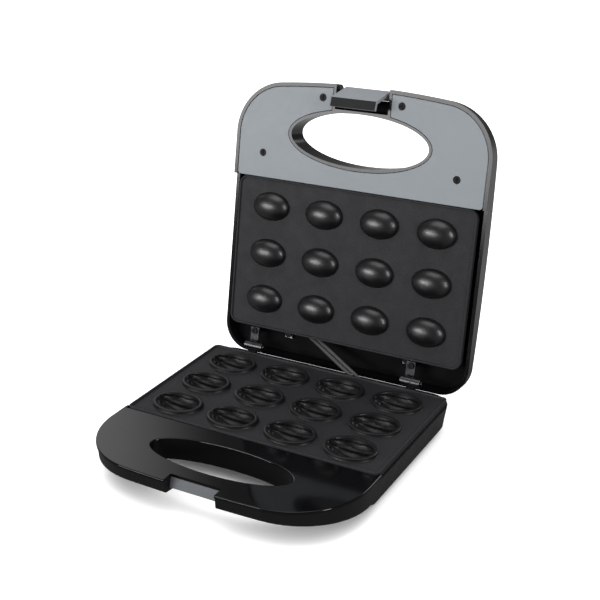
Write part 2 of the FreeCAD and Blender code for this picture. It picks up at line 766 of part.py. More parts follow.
def make_base_housing():
    """The lower shell: a drafted pan, with the tray of the handle moulded to its front."""
    pan = tapered("pan", "foot_height", "base_height", "pan_draft", "pan_edge_radius", **pan_plan("0"))
    tray_block = tapered("tray_block", "foot_height", "cover_bottom - foot_height", "handle_draft", None,
                         **handle_plan("cover_lip", "-plate_front + handle_wing"))
    tray_blank = cut("tray_blank", tray_block, below_handle("tray_underside"))
    tray = rounded("tray", tray_blank, "handle_edge_radius", on_underside)
    pan_hollow = tapered("pan_hollow", "foot_height + floor_wall", "base_height - floor_wall + overrun",
                         "pan_draft",
                         "pan_edge_radius - housing_wall / 2", **pan_plan("housing_wall"))
    tray_hollow = tapered("tray_hollow", "foot_height", "cover_bottom - foot_height + overrun",
                          "handle_draft", None,
                          **handle_plan("cover_lip + housing_wall", "-pan_front"))
    lining = notch("catch_lining", "catch_notch_half_width", "catch_y + catch_depth", "-lid_front",
                   "foot_height",
                   "cover_bottom + overrun", "housing_wall + seat_gap")
    grip_sleeve = oval("grip_sleeve_space", "grip_half_length + grip_wall + seat_gap",
                       "grip_half_width + grip_wall + seat_gap", "foot_height", "cover_bottom + overrun",
                       "grip_y")
    grip_ring = oval("grip_ring", "grip_half_length + 2 * grip_wall + seat_gap",
                     "grip_half_width + 2 * grip_wall + seat_gap", "foot_height", "cover_bottom + overrun",
                     "grip_y")
    hollow_tray = cut("tray_space", tray_hollow, lining, grip_ring, below_handle("tray_floor", "floor_wall"))
    bosses = posts("base_boss", "post_radius", "foot_height", "reflector_bottom")
    bosses.append(box("block_ledge_body", ("block_x - block_length / 2", "block_y - block_width / 2",
                                           "foot_height"),
                      ("block_x + block_length / 2", "pan_rear", "block_bottom - seat_gap")))
    hollow_pan = cut("pan_space", pan_hollow, *bosses, *bracket_pillars())
    slot = notch("catch_slot", "catch_notch_half_width", "catch_y + catch_depth + seat_gap", "-lid_front",
                 "foot_height",
                 "cover_bottom + overrun")
    recesses = [rod(f"foot_recess_{number}", "foot_radius + seat_gap", "foot_recess + overrun", x, y,
                    "foot_height - overrun")
                for number, (x, y) in enumerate(foot_places())]
    sockets = posts("base_screw_bore", "screw_radius + screw_clearance", "foot_height - overrun",
                    "reflector_bottom + overrun")
    sinks = posts("base_screw_sink", "screw_head_radius + screw_clearance", "foot_height - overrun",
                  "foot_height + screw_head_height + screw_recess")
    gland_port = box("gland_port", ("gland_x - gland_width / 2 - seat_gap", "pan_rear - pan_corner",
                                    "foot_height + gland_rise - gland_height / 2 - seat_gap"),
                     ("gland_x + gland_width / 2 + seat_gap", "pan_rear + overrun",
                      "foot_height + gland_rise + gland_height / 2 + seat_gap"))
    bores = [rod(f"pillar_bore_{name}", "screw_radius + pin_clearance", "small_screw_length + overrun", x,
                 "leg_y", "bracket_screw_z",
                 X_AXIS, -90) for x, name in bracket_screw_places()]
    seat = box("plate_seat", ("-half_width - seat_gap", "-plate_front - seat_gap", "base_rim + seat_gap / 2"),
               ("half_width + seat_gap", "0", "cover_bottom + overrun"))
    shell = fuse("base_blocks", pan, tray)
    keep(cut("base_housing_part", shell, hollow_pan, hollow_tray, grip_sleeve, slot, gland_port, seat,
             *recesses, *sockets,
             *sinks, *bores), "base_housing")


def foot_places():
    return [(f"{side} * foot_x", y) for side in (-1, 1)
            for y in ("pan_rear - foot_rear_inset", "-pan_front + foot_front_inset")]


def bracket_screw_places():
    return [(f"({side}) * hinge_spread - hinge_shift + hinge_gap / 2 + leaf_width / 2", name) for side,
            name in ((-1, "left"), (1, "right"))]


def bracket_pillars():
    """Pillars inside the rear wall that the base's hinge brackets are screwed to."""
    return [box(f"bracket_pillar_{name}", (f"{middle} - leaf_width / 2", "leg_y + leaf_thickness",
                                           "foot_height"),
                (f"{middle} + leaf_width / 2", "pan_rear", "base_rim - seat_gap")) for middle,
                name in bracket_screw_places()]


def make_base_handle_cover():
    """The glossy top of the lower handle, with a rolled sleeve down its grip hole."""
    plate = slab("cover_plate", "cover_bottom", "cover_thickness",
                 **handle_plan("0", "-plate_front + handle_wing"))
    round_edges(plate, "cover_edge_radius", level(value("handle_top")))
    sleeve = oval("cover_sleeve", "grip_half_length + grip_wall", "grip_half_width + grip_wall",
                  "foot_height",
                  "handle_top - overrun / 2", "grip_y")
    sleeve = cut("cover_sleeve_part", sleeve, below_handle("sleeve_foot"))
    hole = oval("cover_hole", "grip_half_length", "grip_half_width", "foot_height - overrun",
                "handle_top + overrun",
                "grip_y")
    seat = box("cover_plate_seat", ("-half_width - plate_side_gap", "-plate_front - panel_rear_gap",
                                    "cover_bottom - overrun"),
               ("half_width + plate_side_gap", "0", "handle_top + overrun"))
    slot = notch("cover_slot", "catch_notch_half_width", "catch_y", "-lid_front", "cover_bottom - overrun",
                 "handle_top + overrun")
    blank = cut("cover_blank", fuse("cover_solid", plate, sleeve), hole, seat, slot)
    top = value("handle_top")
    grip_front = value("grip_y - grip_half_width")

    def is_hole_edge(edge_box):
        return level(top)(edge_box) and abs(edge_box.YMin - grip_front) < 1

    keep(rounded("cover_part", blank, "grip_roll", is_hole_edge), "base_handle_cover")


def make_catch_block():
    """The grey block at the back of the notch; its sloped face leads the latch in, its underside holds it."""
    reach = "catch_notch_half_width - seat_gap"
    block = box("catch_body", (f"-({reach})", "catch_y", "catch_bottom"),
                (reach, "catch_y + catch_depth", "cover_bottom - seat_gap"))
    wedge = document.addObject("Part::Wedge", "catch_nose")
    bind(wedge, Xmin="0", Ymin="0", Zmin="0", X2min="0", Z2min="0")
    bind(wedge, Xmax=f"2 * ({reach})", X2max=f"2 * ({reach})")
    bind(wedge, Ymax="cover_bottom - seat_gap - catch_bottom", Zmax="catch_nose",
         Z2max="catch_nose * catch_nose_share")
    put(wedge, f"-({reach})", "catch_y", "catch_bottom", X_AXIS, 90)
    keep(fuse("catch_part", block, wedge), "catch_block")


def make_feet():
    feet = []
    for number, (x, y) in enumerate(foot_places()):
        foot = rod(f"foot_blank_{number}", "foot_radius", "foot_height + foot_recess", x, y, "0")
        feet.append(rounded(f"foot_{number}", foot, "foot_edge_radius", level(0)))
    keep(group("feet_set", *feet), "feet")


def screw(name, x, y, z, up, head_radius="screw_head_radius", length="screw_length"):
    """A pan-head screw with a cross recess; its head's outer face lies at the given point."""
    direction = 1 if up else -1
    low = "0" if up else "-screw_head_height"
    head = rod(name + "_head", head_radius, "screw_head_height", x, y, f"{z} + ({low})")
    shank_low = "screw_head_height" if up else f"-screw_head_height - ({length})"
    shank = rod(name + "_shank", "screw_radius", length, x, y, f"{z} + ({shank_low})")
    slots = []
    for turn, (wide, deep) in enumerate((("slot_length", "slot_width"), ("slot_width", "slot_length"))):
        slot_low = "-overrun" if up else "-slot_depth"
        slot_high = "slot_depth" if up else "overrun"
        slots.append(box(f"{name}_slot_{turn}", (f"{x} - {wide} / 2", f"{y} - {deep} / 2",
                                                 f"{z} + ({slot_low})"),
                         (f"{x} + {wide} / 2", f"{y} + {deep} / 2", f"{z} + ({slot_high})")))
    return cut(name, fuse(name + "_blank", head, shank), *slots)


def make_base_screws():
    screws = [screw(f"base_screw_{side}_{end}", f"({side}) * pitch_x", f"({end}) * post_y",
                    "foot_height + screw_recess", True,
                    length="base_screw_tip - foot_height - screw_recess - screw_head_height - seat_gap")
              for side in (-1, 1) for end in (-1, 1)]
    keep(group("base_screw_set", *screws), "base_screws")


# Hinges

def hinge_middle(side):
    """Where the two knuckles of one hinge meet, along X."""
    return f"({side}) * hinge_spread - hinge_shift"


def knuckle(name, low, high):
    return rod_along_x(name, "knuckle_radius", low, high, "hinge_y", "hinge_z")


def pin_bore(name, low, high):
    return rod_along_x(name, "hinge_pin_radius + pin_clearance", f"{low} - overrun", f"{high} + overrun",
                       "hinge_y", "hinge_z")


def make_base_bracket(side, name):
    """A folded steel bracket: a leg inside the pan, an arm over its rim and a rolled knuckle."""
    low = f"{hinge_middle(side)} + hinge_gap / 2"
    high = f"{low} + knuckle_length"
    arm = box(f"base_arm_{name}", (low, "leg_y", "hinge_z - leaf_thickness / 2"),
              (f"{low} + leaf_width", "hinge_y", "hinge_z + leaf_thickness / 2"))
    leg = box(f"base_leg_{name}", (low, "leg_y", "hinge_z - leg_length"),
              (f"{low} + leaf_width", "leg_y + leaf_thickness", "hinge_z + leaf_thickness / 2"))
    barrel = knuckle(f"base_knuckle_{name}", low, high)
    hole = rod(f"base_bracket_hole_{name}", "screw_radius + screw_clearance", "leaf_thickness + 2 * overrun",
               f"{low} + leaf_width / 2",
               "leg_y - overrun", "bracket_screw_z", X_AXIS, -90)
    bracket = cut(f"base_bracket_part_{name}", fuse(f"base_bracket_solid_{name}", arm, leg, barrel), hole,
                  pin_bore(f"base_bore_{name}", low, high))
    keep(bracket, f"base_hinge_bracket_{name}")


def make_lid_bracket(side, name):
    """The lid's half of a hinge: a rolled knuckle with a leaf that is screwed under a boss of the lid."""
    high = f"{hinge_middle(side)} - hinge_gap / 2"
    low = f"{high} - knuckle_length"
    leaf_low = f"{high} - leaf_width"
    rise = box(f"lid_rise_{name}", (leaf_low, "hinge_y - leaf_thickness / 2", "hinge_z"),
               (high, "hinge_y + leaf_thickness / 2", "leaf_top"))
    leaf = box(f"lid_leaf_{name}", (leaf_low, "hinge_y - leaf_length", "leaf_top - leaf_thickness"),
               (high, "hinge_y + leaf_thickness / 2", "leaf_top"))
    barrel = knuckle(f"lid_knuckle_{name}", low, high)
    hole = rod(f"lid_leaf_hole_{name}", "screw_radius + screw_clearance", "leaf_thickness + 2 * overrun",
               f"{high} - leaf_width / 2",
               "lid_leaf_screw_y", "leaf_top - leaf_thickness - overrun")
    bracket = cut(f"lid_bracket_part_{name}", fuse(f"lid_bracket_solid_{name}", rise, leaf, barrel), hole,
                  pin_bore(f"lid_bore_{name}", low, high))
    keep(bracket, f"lid_hinge_bracket_{name}", "lid")


def make_hinge_pin(side, name):
    """A headed pin through both knuckles of a hinge."""
    low = f"{hinge_middle(side)} - hinge_gap / 2 - knuckle_length"
    high = f"{hinge_middle(side)} + hinge_gap / 2 + knuckle_length"
    shank = rod_along_x(f"pin_shank_{name}", "hinge_pin_radius", f"{low} - seat_gap - pin_head_length",
                        f"{high} + seat_gap + pin_head_length",
                        "hinge_y", "hinge_z")
    heads = [rod_along_x(f"pin_head_{name}_outer", "pin_head_radius", f"{high} + seat_gap",
                         f"{high} + seat_gap + pin_head_length", "hinge_y", "hinge_z"),
             rod_along_x(f"pin_head_{name}_inner", "pin_head_radius", f"{low} - seat_gap - pin_head_length",
                         f"{low} - seat_gap", "hinge_y", "hinge_z")]
    keep(fuse(f"pin_part_{name}", shank, *heads), f"hinge_pin_{name}")


def make_bracket_screws():
    """Screws of the hinge brackets: level ones into the base's pillars, upright ones into the lid."""
    base_set = []
    lid_set = []
    for base_x, name in bracket_screw_places():
        head = rod(f"base_bracket_head_{name}", "small_head_radius", "screw_head_height", base_x,
                   "leg_y - screw_head_height - seat_gap / 3",
                   "bracket_screw_z", X_AXIS, -90)
        shank = rod(f"base_bracket_shank_{name}", "screw_radius", "small_screw_length + screw_head_height",
                    base_x,
                    "leg_y - screw_head_height - seat_gap / 3", "bracket_screw_z", X_AXIS, -90)
        base_set.append(fuse(f"base_bracket_screw_{name}", head, shank))
    for side, name in ((-1, "left"), (1, "right")):
        lid_set.append(screw(f"lid_bracket_screw_{name}",
                             f"{hinge_middle(side)} - hinge_gap / 2 - leaf_width / 2", "lid_leaf_screw_y",
                             "leaf_top - leaf_thickness - screw_head_height - seat_gap / 3", True,
                             "small_head_radius", "small_screw_length"))
    keep(group("base_bracket_screw_set", *base_set), "base_bracket_screws")
    keep(group("lid_bracket_screw_set", *lid_set), "lid_bracket_screws", "lid")


# Lid housing

def lid_plan(inset):
    return {
        "half_width": f"lid_half_width - ({inset})",
        "rear": f"lid_rear - ({inset})",
        "front": f"-lid_front + ({inset})",
        "rear_radius": f"lid_rear_corner - ({inset})",
        "front_radius": f"lid_front_corner - ({inset})",
        "bow_radius": f"lid_bow - ({inset})",
    }


def lid_block(name, low, top, inset, edge):
    """The lid's outer form, or its hollow: drafted walls, an arched top and a rounded upper edge."""
    body = slab(name, low, f"{top} - ({low})", "-lid_draft", **lid_plan(inset))
    crown(body, top)
    floor = value(low)
    peak = value(top)
    walls = value("lid_height") * math.tan(math.radians(value("lid_draft"))) + value(edge)

    def on_top(edge_box):
        return edge_box.ZMin > floor + (peak - floor) / 3 and max(edge_box.XLength, edge_box.YLength) > walls

    return round_edges(body, edge, on_top)


def panel_screw_places():
    outer = "-plate_front - outer_screw_setback"
    inner = "-plate_front - inner_screw_setback"
    return [(f"({side}) * {across}", y) for side in (-1, 1) for across,
            y in (("outer_screw_x", outer), ("inner_screw_x", inner))]


def lamp_places():
    return [(f"{side} * lamp_spread", "-lamp_y") for side in (-1, 1)]


def make_lid_housing():
    """The upper shell: an arched cover with the handle's grip sleeve, notch lining and screw bosses."""
    outer = lid_block("lid_outer", "lid_rim", "lid_top", "0", "lid_edge_radius")
    inner = lid_block("lid_inner", "lid_rim - overrun", "hollow_top", "lid_wall",
                      "lid_edge_radius - lid_wall / 2")
    sleeve = oval("lid_grip_sleeve", "lid_grip_half_length + lid_grip_wall",
                  "lid_grip_half_width + lid_grip_wall", "lid_rim", "lid_top + overrun", "lid_grip_y")
    lining = notch("latch_lining", "latch_notch_half_width", "-lid_front + latch_notch_setback", "-lid_front",
                   "lid_rim", "lid_top + overrun", "latch_wall")
    cross_wall = box("lid_cross_wall", ("-lid_half_width", "-plate_front - panel_rear_gap - 2 * lid_wall",
                                        "panel_back"),
                     ("lid_half_width", "-plate_front - panel_rear_gap - lid_wall", "lid_top + overrun"))
    bosses = [rod(f"panel_boss_{number}", "boss_radius", "lid_height", x, y, "panel_back") for number,
              (x, y) in enumerate(panel_screw_places())]
    for side, name in ((-1, "left"), (1, "right")):
        middle = f"{hinge_middle(side)} - hinge_gap / 2 - leaf_width / 2"
        bosses.append(rod(f"leaf_boss_{name}", "boss_radius", "lid_height", middle, "lid_leaf_screw_y",
                          "leaf_top"))
    bosses += [rod(f"reflector_boss_{number}", "boss_radius", "lid_height", x, y, "lid_reflector_top")
               for number, (x, y) in enumerate(lid_flange_places())]
    hollow = cut("lid_space", inner, sleeve, lining, cross_wall, *bosses)
    hole = oval("lid_grip_hole", "lid_grip_half_length", "lid_grip_half_width", "lid_rim - overrun",
                "lid_top + overrun", "lid_grip_y")
    slot = notch("latch_slot", "latch_notch_half_width", "-lid_front + latch_notch_setback",
                 "-lid_front - overrun",
                 "lid_rim - overrun", "latch_roof")
    throat = notch("latch_throat", "latch_notch_half_width", "latch_y + latch_barrel_radius + latch_roof_gap",
                   "-lid_front - overrun", "latch_roof - overrun", "lid_top + overrun")
    step = box("lid_step_cut", ("-lid_half_width - overrun", "-plate_front - panel_rear_gap",
                                "lid_rim - overrun"),
               ("lid_half_width + overrun", "lid_rear + overrun", "lid_rim + lid_step"))
    bores = [rod(f"panel_screw_bore_{number}", "screw_radius + pin_clearance",
                 "screw_length + panel_thickness", x, y, "lid_rim")
             for number, (x, y) in enumerate(panel_screw_places())]
    for side, name in ((-1, "left"), (1, "right")):
        middle = f"{hinge_middle(side)} - hinge_gap / 2 - leaf_width / 2"
        bores.append(rod(f"leaf_screw_bore_{name}", "screw_radius + pin_clearance",
                         "small_screw_length + overrun", middle, "lid_leaf_screw_y", "leaf_top - overrun"))
    bores += [rod(f"reflector_bore_{number}", "screw_radius + pin_clearance", "small_screw_length + overrun",
                  x, y, "lid_reflector_top - overrun")
              for number, (x, y) in enumerate(lid_flange_places())]
    bores += [rod(f"lamp_port_{number}", "lamp_radius + pin_clearance", "2 * lid_height", x, y,
                  "hollow_top - lid_height") for number, (x, y) in enumerate(lamp_places())]
    bores.append(rod_along_x("latch_pin_bore", "latch_pin_radius + pin_clearance",
                             "-latch_notch_half_width - latch_wall - overrun",
                             "latch_notch_half_width + latch_wall + overrun", "latch_y", "latch_z"))
    keep(cut("lid_housing_part", outer, hollow, hole, slot, throat, step, *bores), "lid_housing", "lid")


def make_lid_handle_panel():
    """The grey facing of the lid's handle, a gap's width from the rim, the grip sleeve and the notch."""
    plan = lid_plan("lid_wall + panel_gap") | {"rear": "-plate_front - panel_rear_gap",
                                               "rear_radius": "panel_corner"}
    plate = slab("panel_plate", "lid_rim", "panel_thickness", **plan)
    round_edges(plate, "panel_edge_radius", level(value("lid_rim")))
    hole = oval("panel_hole", "lid_grip_half_length + lid_grip_wall + panel_gap",
                "lid_grip_half_width + lid_grip_wall + panel_gap",
                "lid_rim - overrun", "panel_back + overrun", "lid_grip_y")
    slot = notch("panel_slot", "latch_notch_half_width", "-lid_front + latch_notch_setback",
                 "-lid_front - overrun", "lid_rim - overrun",
                 "panel_back + overrun", "latch_wall + panel_gap")
    bores = [rod(f"panel_bore_{number}", "screw_radius + screw_clearance", "panel_thickness + 2 * overrun", x,
                 y, "lid_rim - overrun")
             for number, (x, y) in enumerate(panel_screw_places())]
    sinks = [rod(f"panel_sink_{number}", "screw_head_radius + screw_clearance",
                 "screw_recess + screw_head_height + seat_gap / 3 + overrun", x, y, "lid_rim - overrun")
             for number, (x, y) in enumerate(panel_screw_places())]
    keep(cut("panel_part", plate, hole, slot, *bores, *sinks), "lid_handle_panel", "lid")


def make_panel_screws():
    screws = [screw(f"panel_screw_{number}", x, y, "lid_rim + screw_recess", True,
                    length="screw_length - screw_head_height")
              for number, (x, y) in enumerate(panel_screw_places())]
    keep(group("panel_screw_set", *screws), "panel_screws", "lid")


# Latch

def make_latch_pin():
    reach = "latch_notch_half_width + latch_wall"
    pin = rod_along_x("latch_pin_shank", "latch_pin_radius", f"-({reach})", reach, "latch_y", "latch_z")
    keep(group("latch_pin_part", pin), "latch_pin", "lid")


def make_latch_clip():
    """The clip on its barrel: a leaning flap with a lip that is level under the catch when swung in."""
    lean, swing = value("latch_lean"), value("latch_swing")
    turn = math.radians(lean)
    barrel, thick = value("latch_barrel_radius"), value("latch_thickness")
    half, lip = value("latch_half_width"), value("latch_lip_thickness")
    lip_top = value("catch_bottom - seat_gap - latch_z")
    lip_reach = value("catch_y + latch_lip_reach - latch_y")
    along = FreeCAD.Vector(0, math.sin(turn), -math.cos(turn))
    outward = FreeCAD.Vector(0, -math.cos(turn), -math.sin(turn))
    outer = outward * barrel
    inner = outward * (barrel - thick)
    outer_foot = outer + along * ((outer.z - lip_top + lip) / along.z * -1)
    inner_foot = inner + along * ((inner.z - lip_top) / along.z * -1)
    corners = [outer, outer_foot, FreeCAD.Vector(0, lip_reach, lip_top - lip),
               FreeCAD.Vector(0, lip_reach, lip_top), inner_foot, inner, outer]
    flap = Part.Face(Part.makePolygon(corners)).extrude(X_AXIS * (2 * half))
    roll = Part.makeCylinder(barrel, 2 * half, FreeCAD.Vector(), X_AXIS)
    bore = Part.makeCylinder(value("latch_pin_radius + pin_clearance"), 2 * half, FreeCAD.Vector(), X_AXIS)
    clip = flap.fuse(roll).cut(bore).removeSplitter()
    rounding = value("latch_edge_radius")
    ends = [edge for edge in clip.Edges if edge.BoundBox.XLength < rounding and edge.BoundBox.ZMax < -barrel]
    clip = clip.makeFillet(rounding, ends)
    clip = clip.translated(FreeCAD.Vector(-half, 0, 0)).rotated(FreeCAD.Vector(), X_AXIS, -swing)
    keep(fixed_shape("latch_clip_part",
                     clip.translated(FreeCAD.Vector(0, value("latch_y"), value("latch_z")))), "latch_clip",
                     "lid")


# Heating elements, reflectors and switches

def bent_tube(points, radius, bend):
    """A round tube along straight runs joined by arcs of one bend radius, and the length along its middle."""
    corners = [FreeCAD.Vector(*point) for point in points]
    edges = []
    start = corners[0]
    for before, corner, after in zip(corners, corners[1:], corners[2:]):
        back, ahead = (before - corner).normalize(), (after - corner).normalize()
        turn = math.pi - back.getAngle(ahead)
        trim = bend * math.tan(turn / 2)
        entry, leave = corner + back * trim, corner + ahead * trim
        inward = (back + ahead).normalize()
        middle = corner + inward * (bend / math.cos(turn / 2) - bend)
        edges += [Part.LineSegment(start, entry).toShape(), Part.Arc(entry, middle, leave).toShape()]
        start = leave
    edges.append(Part.LineSegment(start, corners[-1]).toShape())
    path = Part.Wire(edges)
    section = Part.Wire(Part.makeCircle(radius, corners[0], corners[1] - corners[0]))
    return path.makePipeShell([section], True, False), path.Length


def make_heating_element(node, height, carrier):
    """A tube bent into a long U between the rows of moulds, with a cold pin in each end."""
    radius, y = value("element_radius"), value("element_y")
    left, bend = -value("element_end"), value("element_end + element_radius + seat_gap") - y
    z = value(height)
    legs = [Part.LineSegment(FreeCAD.Vector(left, -y, z), FreeCAD.Vector(bend, -y, z)).toShape(),
            Part.Arc(FreeCAD.Vector(bend, -y, z), FreeCAD.Vector(bend + y, 0, z),
                     FreeCAD.Vector(bend, y, z)).toShape(),
            Part.LineSegment(FreeCAD.Vector(bend, y, z), FreeCAD.Vector(left, y, z)).toShape()]
    section = Part.Wire(Part.makeCircle(radius, FreeCAD.Vector(left, -y, z), X_AXIS))
    tube = Part.Wire(legs).makePipeShell([section], True, False)
    pin, length = value("pin_terminal_radius"), value("pin_terminal_length")
    pins = [Part.makeCylinder(pin, 2 * length, FreeCAD.Vector(left - length, side * y, z), X_AXIS)
            for side in (-1, 1)]
    keep(fixed_shape(node + "_part", tube.fuse(pins)), node, carrier)


def reflector_plan(inset):
    return {
        "half_width": f"reflector_half_width - ({inset})",
        "rear": f"post_y + post_radius + reflector_lip - ({inset})",
        "front": f"-post_y - post_radius - reflector_lip + ({inset})",
        "rear_radius": f"reflector_corner - ({inset})",
        "front_radius": f"reflector_corner - ({inset})",
    }


def make_base_reflector():
    """A shallow steel tray under the bowls, clamped between the plate's posts and the pan's bosses."""
    outer = slab("base_reflector_outer", "reflector_bottom", "reflector_flange + reflector_thickness",
                 **reflector_plan("0"))
    inner = slab("base_reflector_inner", "reflector_top", "reflector_flange + overrun",
                 **reflector_plan("reflector_thickness"))
    holes = posts("base_reflector_hole", "screw_radius + screw_clearance", "reflector_bottom - overrun",
                  "reflector_top + overrun")
    keep(cut("base_reflector_part", outer, inner, *holes), "base_reflector")


def lid_flange_places():
    return [(f"{side} * flange_x", y) for side in (-1, 1)
            for y in ("plate_rear + flange_reach", "-plate_front + flange_inset")]


def make_lid_reflector():
    """The lid's steel tray behind its plate, with ears screwed to the lid's bosses."""
    outer = slab("lid_reflector_outer", "lid_reflector_bottom - reflector_flange",
                 "reflector_flange + reflector_thickness", **reflector_plan("0"))
    inner = slab("lid_reflector_inner", "lid_reflector_bottom - reflector_flange - overrun",
                 "reflector_flange + overrun", **reflector_plan("reflector_thickness"))
    ears = [box(f"reflector_ear_{side}", (f"({side}) * flange_x - boss_radius", "post_y",
                                          "lid_reflector_bottom"),
                (f"({side}) * flange_x + boss_radius", "plate_rear + flange_reach + boss_radius",
                 "lid_reflector_top")) for side in (-1, 1)]
    holes = posts("lid_reflector_hole", "screw_radius + screw_clearance", "lid_reflector_bottom - overrun",
                  "lid_reflector_top + overrun")
    holes += [rod(f"lid_flange_hole_{number}", "screw_radius + screw_clearance",
                  "reflector_thickness + 2 * overrun", x, y, "lid_reflector_bottom - overrun")
              for number, (x, y) in enumerate(lid_flange_places())]
    keep(cut("lid_reflector_part", fuse("lid_reflector_solid", outer, *ears), inner, *holes), "lid_reflector",
         "lid")


def make_lid_plate_screws():
    """Screws through the lid's reflector: four into the plate's posts, four into the housing's bosses."""
    plate_set = [screw(f"lid_plate_screw_{side}_{end}", f"({side}) * pitch_x", f"({end}) * post_y",
                       "lid_reflector_top + screw_head_height", False,
                       length="small_screw_length") for side in (-1, 1) for end in (-1, 1)]
    keep(group("lid_plate_screw_set", *plate_set), "lid_plate_screws", "lid")
    flange_set = [screw(f"lid_flange_screw_{number}", x, y, "lid_reflector_bottom - screw_head_height", True,
                        length="small_screw_length")
                  for number, (x, y) in enumerate(lid_flange_places())]
    keep(group("lid_flange_screw_set", *flange_set), "lid_reflector_screws", "lid")


def make_thermostat():
    """The snap thermostat under the plate's margin, with its two blade terminals."""
    x = "-half_width + thermostat_inset"
    top = "plate_face - plate_thickness - seat_gap"
    body = box("thermostat_body", (x, "-thermostat_length / 2", f"{top} - thermostat_height"),
               (f"{x} + thermostat_width", "thermostat_length / 2", top))
    blades = [box(f"thermostat_blade_{side}", (f"{x} + thermostat_width / 2 - blade_width / 2",
                                               f"({side}) * thermostat_length / 4 - blade_thickness / 2",
                                               f"{top} - thermostat_height - blade_length"),
                  (f"{x} + thermostat_width / 2 + blade_width / 2",
                   f"({side}) * thermostat_length / 4 + blade_thickness / 2",
                   f"{top} - thermostat_height / 2")) for side in (-1, 1)]
    keep(fuse("thermostat_part", body, *blades), "thermostat")


def make_thermal_fuse():
    z = "plate_face - plate_thickness - seat_gap - fuse_radius"
    x = "half_width - fuse_inset"
    can = rod("fuse_can", "fuse_radius", "fuse_length", x, "fuse_y", z, X_AXIS, -90)
    wire = rod("fuse_wire", "fuse_radius / 3", "2 * fuse_length", x, "fuse_y - fuse_length / 2", z, X_AXIS,
               -90)
    keep(fuse("thermal_fuse_part", can, wire), "thermal_fuse")


def make_terminal_block():
    """A two-way screw terminal on a ledge of the pan, where the mains and the linking leads meet."""
    body = box("block_body", ("block_x - block_length / 2", "block_y - block_width / 2", "block_bottom"),
               ("block_x + block_length / 2", "block_y + block_width / 2", "block_bottom + block_height"))
    wells = [rod(f"block_well_{side}", "block_channel / 2", "block_height",
                 f"block_x + ({side}) * lead_spread / 2", "block_y",
                 "block_bottom + block_height / 2") for side in (-1, 1)]
    keep(cut("terminal_block_part", body, *wells), "terminal_block")


def make_cord_gland():
    """The mains inlet: a lipped grommet in the rear wall, with a blind hole where the cord would enter."""
    z = "foot_height + gland_rise"
    rear = "pan_rear + gland_stand - gland_length"
    body = box("gland_body", ("gland_x - gland_width / 2", rear, f"{z} - gland_height / 2"),
               ("gland_x + gland_width / 2", "pan_rear + gland_stand", f"{z} + gland_height / 2"))
    lip = box("gland_lip_body", ("gland_x - gland_width / 2 - gland_lip", rear,
                                 f"{z} - gland_height / 2 - gland_lip"),
              ("gland_x + gland_width / 2 + gland_lip", "pan_rear + gland_stand",
               f"{z} + gland_height / 2 + gland_lip"))
    flange = cut("gland_flange", lip, document.getObject("pan"))
    hole = rod("gland_hole", "gland_hole_radius", "gland_length", "gland_x", f"{rear} + gland_lip", z, X_AXIS,
               -90)
    keep(cut("cord_gland_part", fuse("gland_solid", body, flange), hole), "cord_gland")


def make_lamps():
    """Two lenses in the lid's top, each with a flange inside the shell."""
    for (x, y), node in zip(lamp_places(), ("power_lamp_lens", "ready_lamp_lens")):
        top = "lamp_top"
        lens = rod(node + "_lens", "lamp_radius", "lamp_length", x, y, f"{top} - lamp_length")
        flange = rod(node + "_flange", "lamp_flange_radius", "lamp_flange_height", x, y,
                     f"{top} - lamp_length")
        keep(fuse(node + "_part", lens, flange), node, "lid")


# Linking leads

def opened(y, z):
    """Where a point of the closed lid stands in the open one, before the appliance is centred."""
    turn = math.radians(value("open_angle"))
    out, up = value(f"{y} - hinge_y"), value(f"{z} - hinge_z")
    return (value("hinge_y") + out * math.cos(turn) + up * math.sin(turn),
            value("hinge_z") - out * math.sin(turn) + up * math.cos(turn))


def make_lead_clamp():
    """The block on the back of the lid's plate that both leads run out of."""
    block = box("clamp_body", ("clamp_x - clamp_length / 2", "clamp_rear - clamp_width", "clamp_bottom"),
                ("clamp_x + clamp_length / 2", "clamp_rear", "clamp_bottom + clamp_height"))
    keep(group("lead_clamp_part", block), "lead_clamp", "lid")


def make_leads():
    """Two sleeved leads: down behind the lid's plate, under its edge and on to the terminal block."""
    height = "lid_face + plate_thickness + lead_rise"
    top, turn = opened("clamp_rear + seat_gap", height), opened("plate_rear - lead_turn_inset", height)
    low_y, end = value("plate_rear + lead_low_gap"), value("block_bottom + block_height + seat_gap")
    for name, spread_count in (("a", 0), ("b", 1)):
        shift = spread_count * value("lead_spread")
        top_x, low_x = value("lead_top_x") + shift, value("lead_low_x") + shift
        route = [(top_x, *top), (top_x, *turn), (low_x, low_y, value("lead_low_z")), (low_x, low_y, end)]
        tube, length = bent_tube(route, value("lead_radius"), value("lead_bend"))
        ratio = tube.Volume / (math.pi * value("lead_radius") ** 2 * length)
        print(f"lead {name}: {length:.1f} mm long, volume ratio {ratio:.4f}")
        keep(fixed_shape(f"lead_{name}_part", tube), f"linking_lead_{name}")


make_base_cook_plate()
make_base_housing()
make_base_handle_cover()
make_catch_block()
make_feet()
make_base_screws()
make_base_reflector()
make_heating_element("base_heating_element", "plate_face - plate_thickness - seat_gap - element_radius",
                     "base")
make_thermostat()
make_thermal_fuse()
make_terminal_block()
make_cord_gland()
for hinge_side, hinge_name in ((-1, "left"), (1, "right")):
    make_base_bracket(hinge_side, hinge_name)
    make_lid_bracket(hinge_side, hinge_name)
    make_hinge_pin(hinge_side, hinge_name)
make_bracket_screws()
make_lid_housing()
make_lid_handle_panel()
make_panel_screws()
make_lid_cook_plate()
make_lid_reflector()
make_lid_plate_screws()
make_heating_element("lid_heating_element", "lid_face + plate_thickness + seat_gap + element_radius", "lid")
make_lamps()
make_latch_pin()
make_latch_clip()
make_lead_clamp()
make_leads()

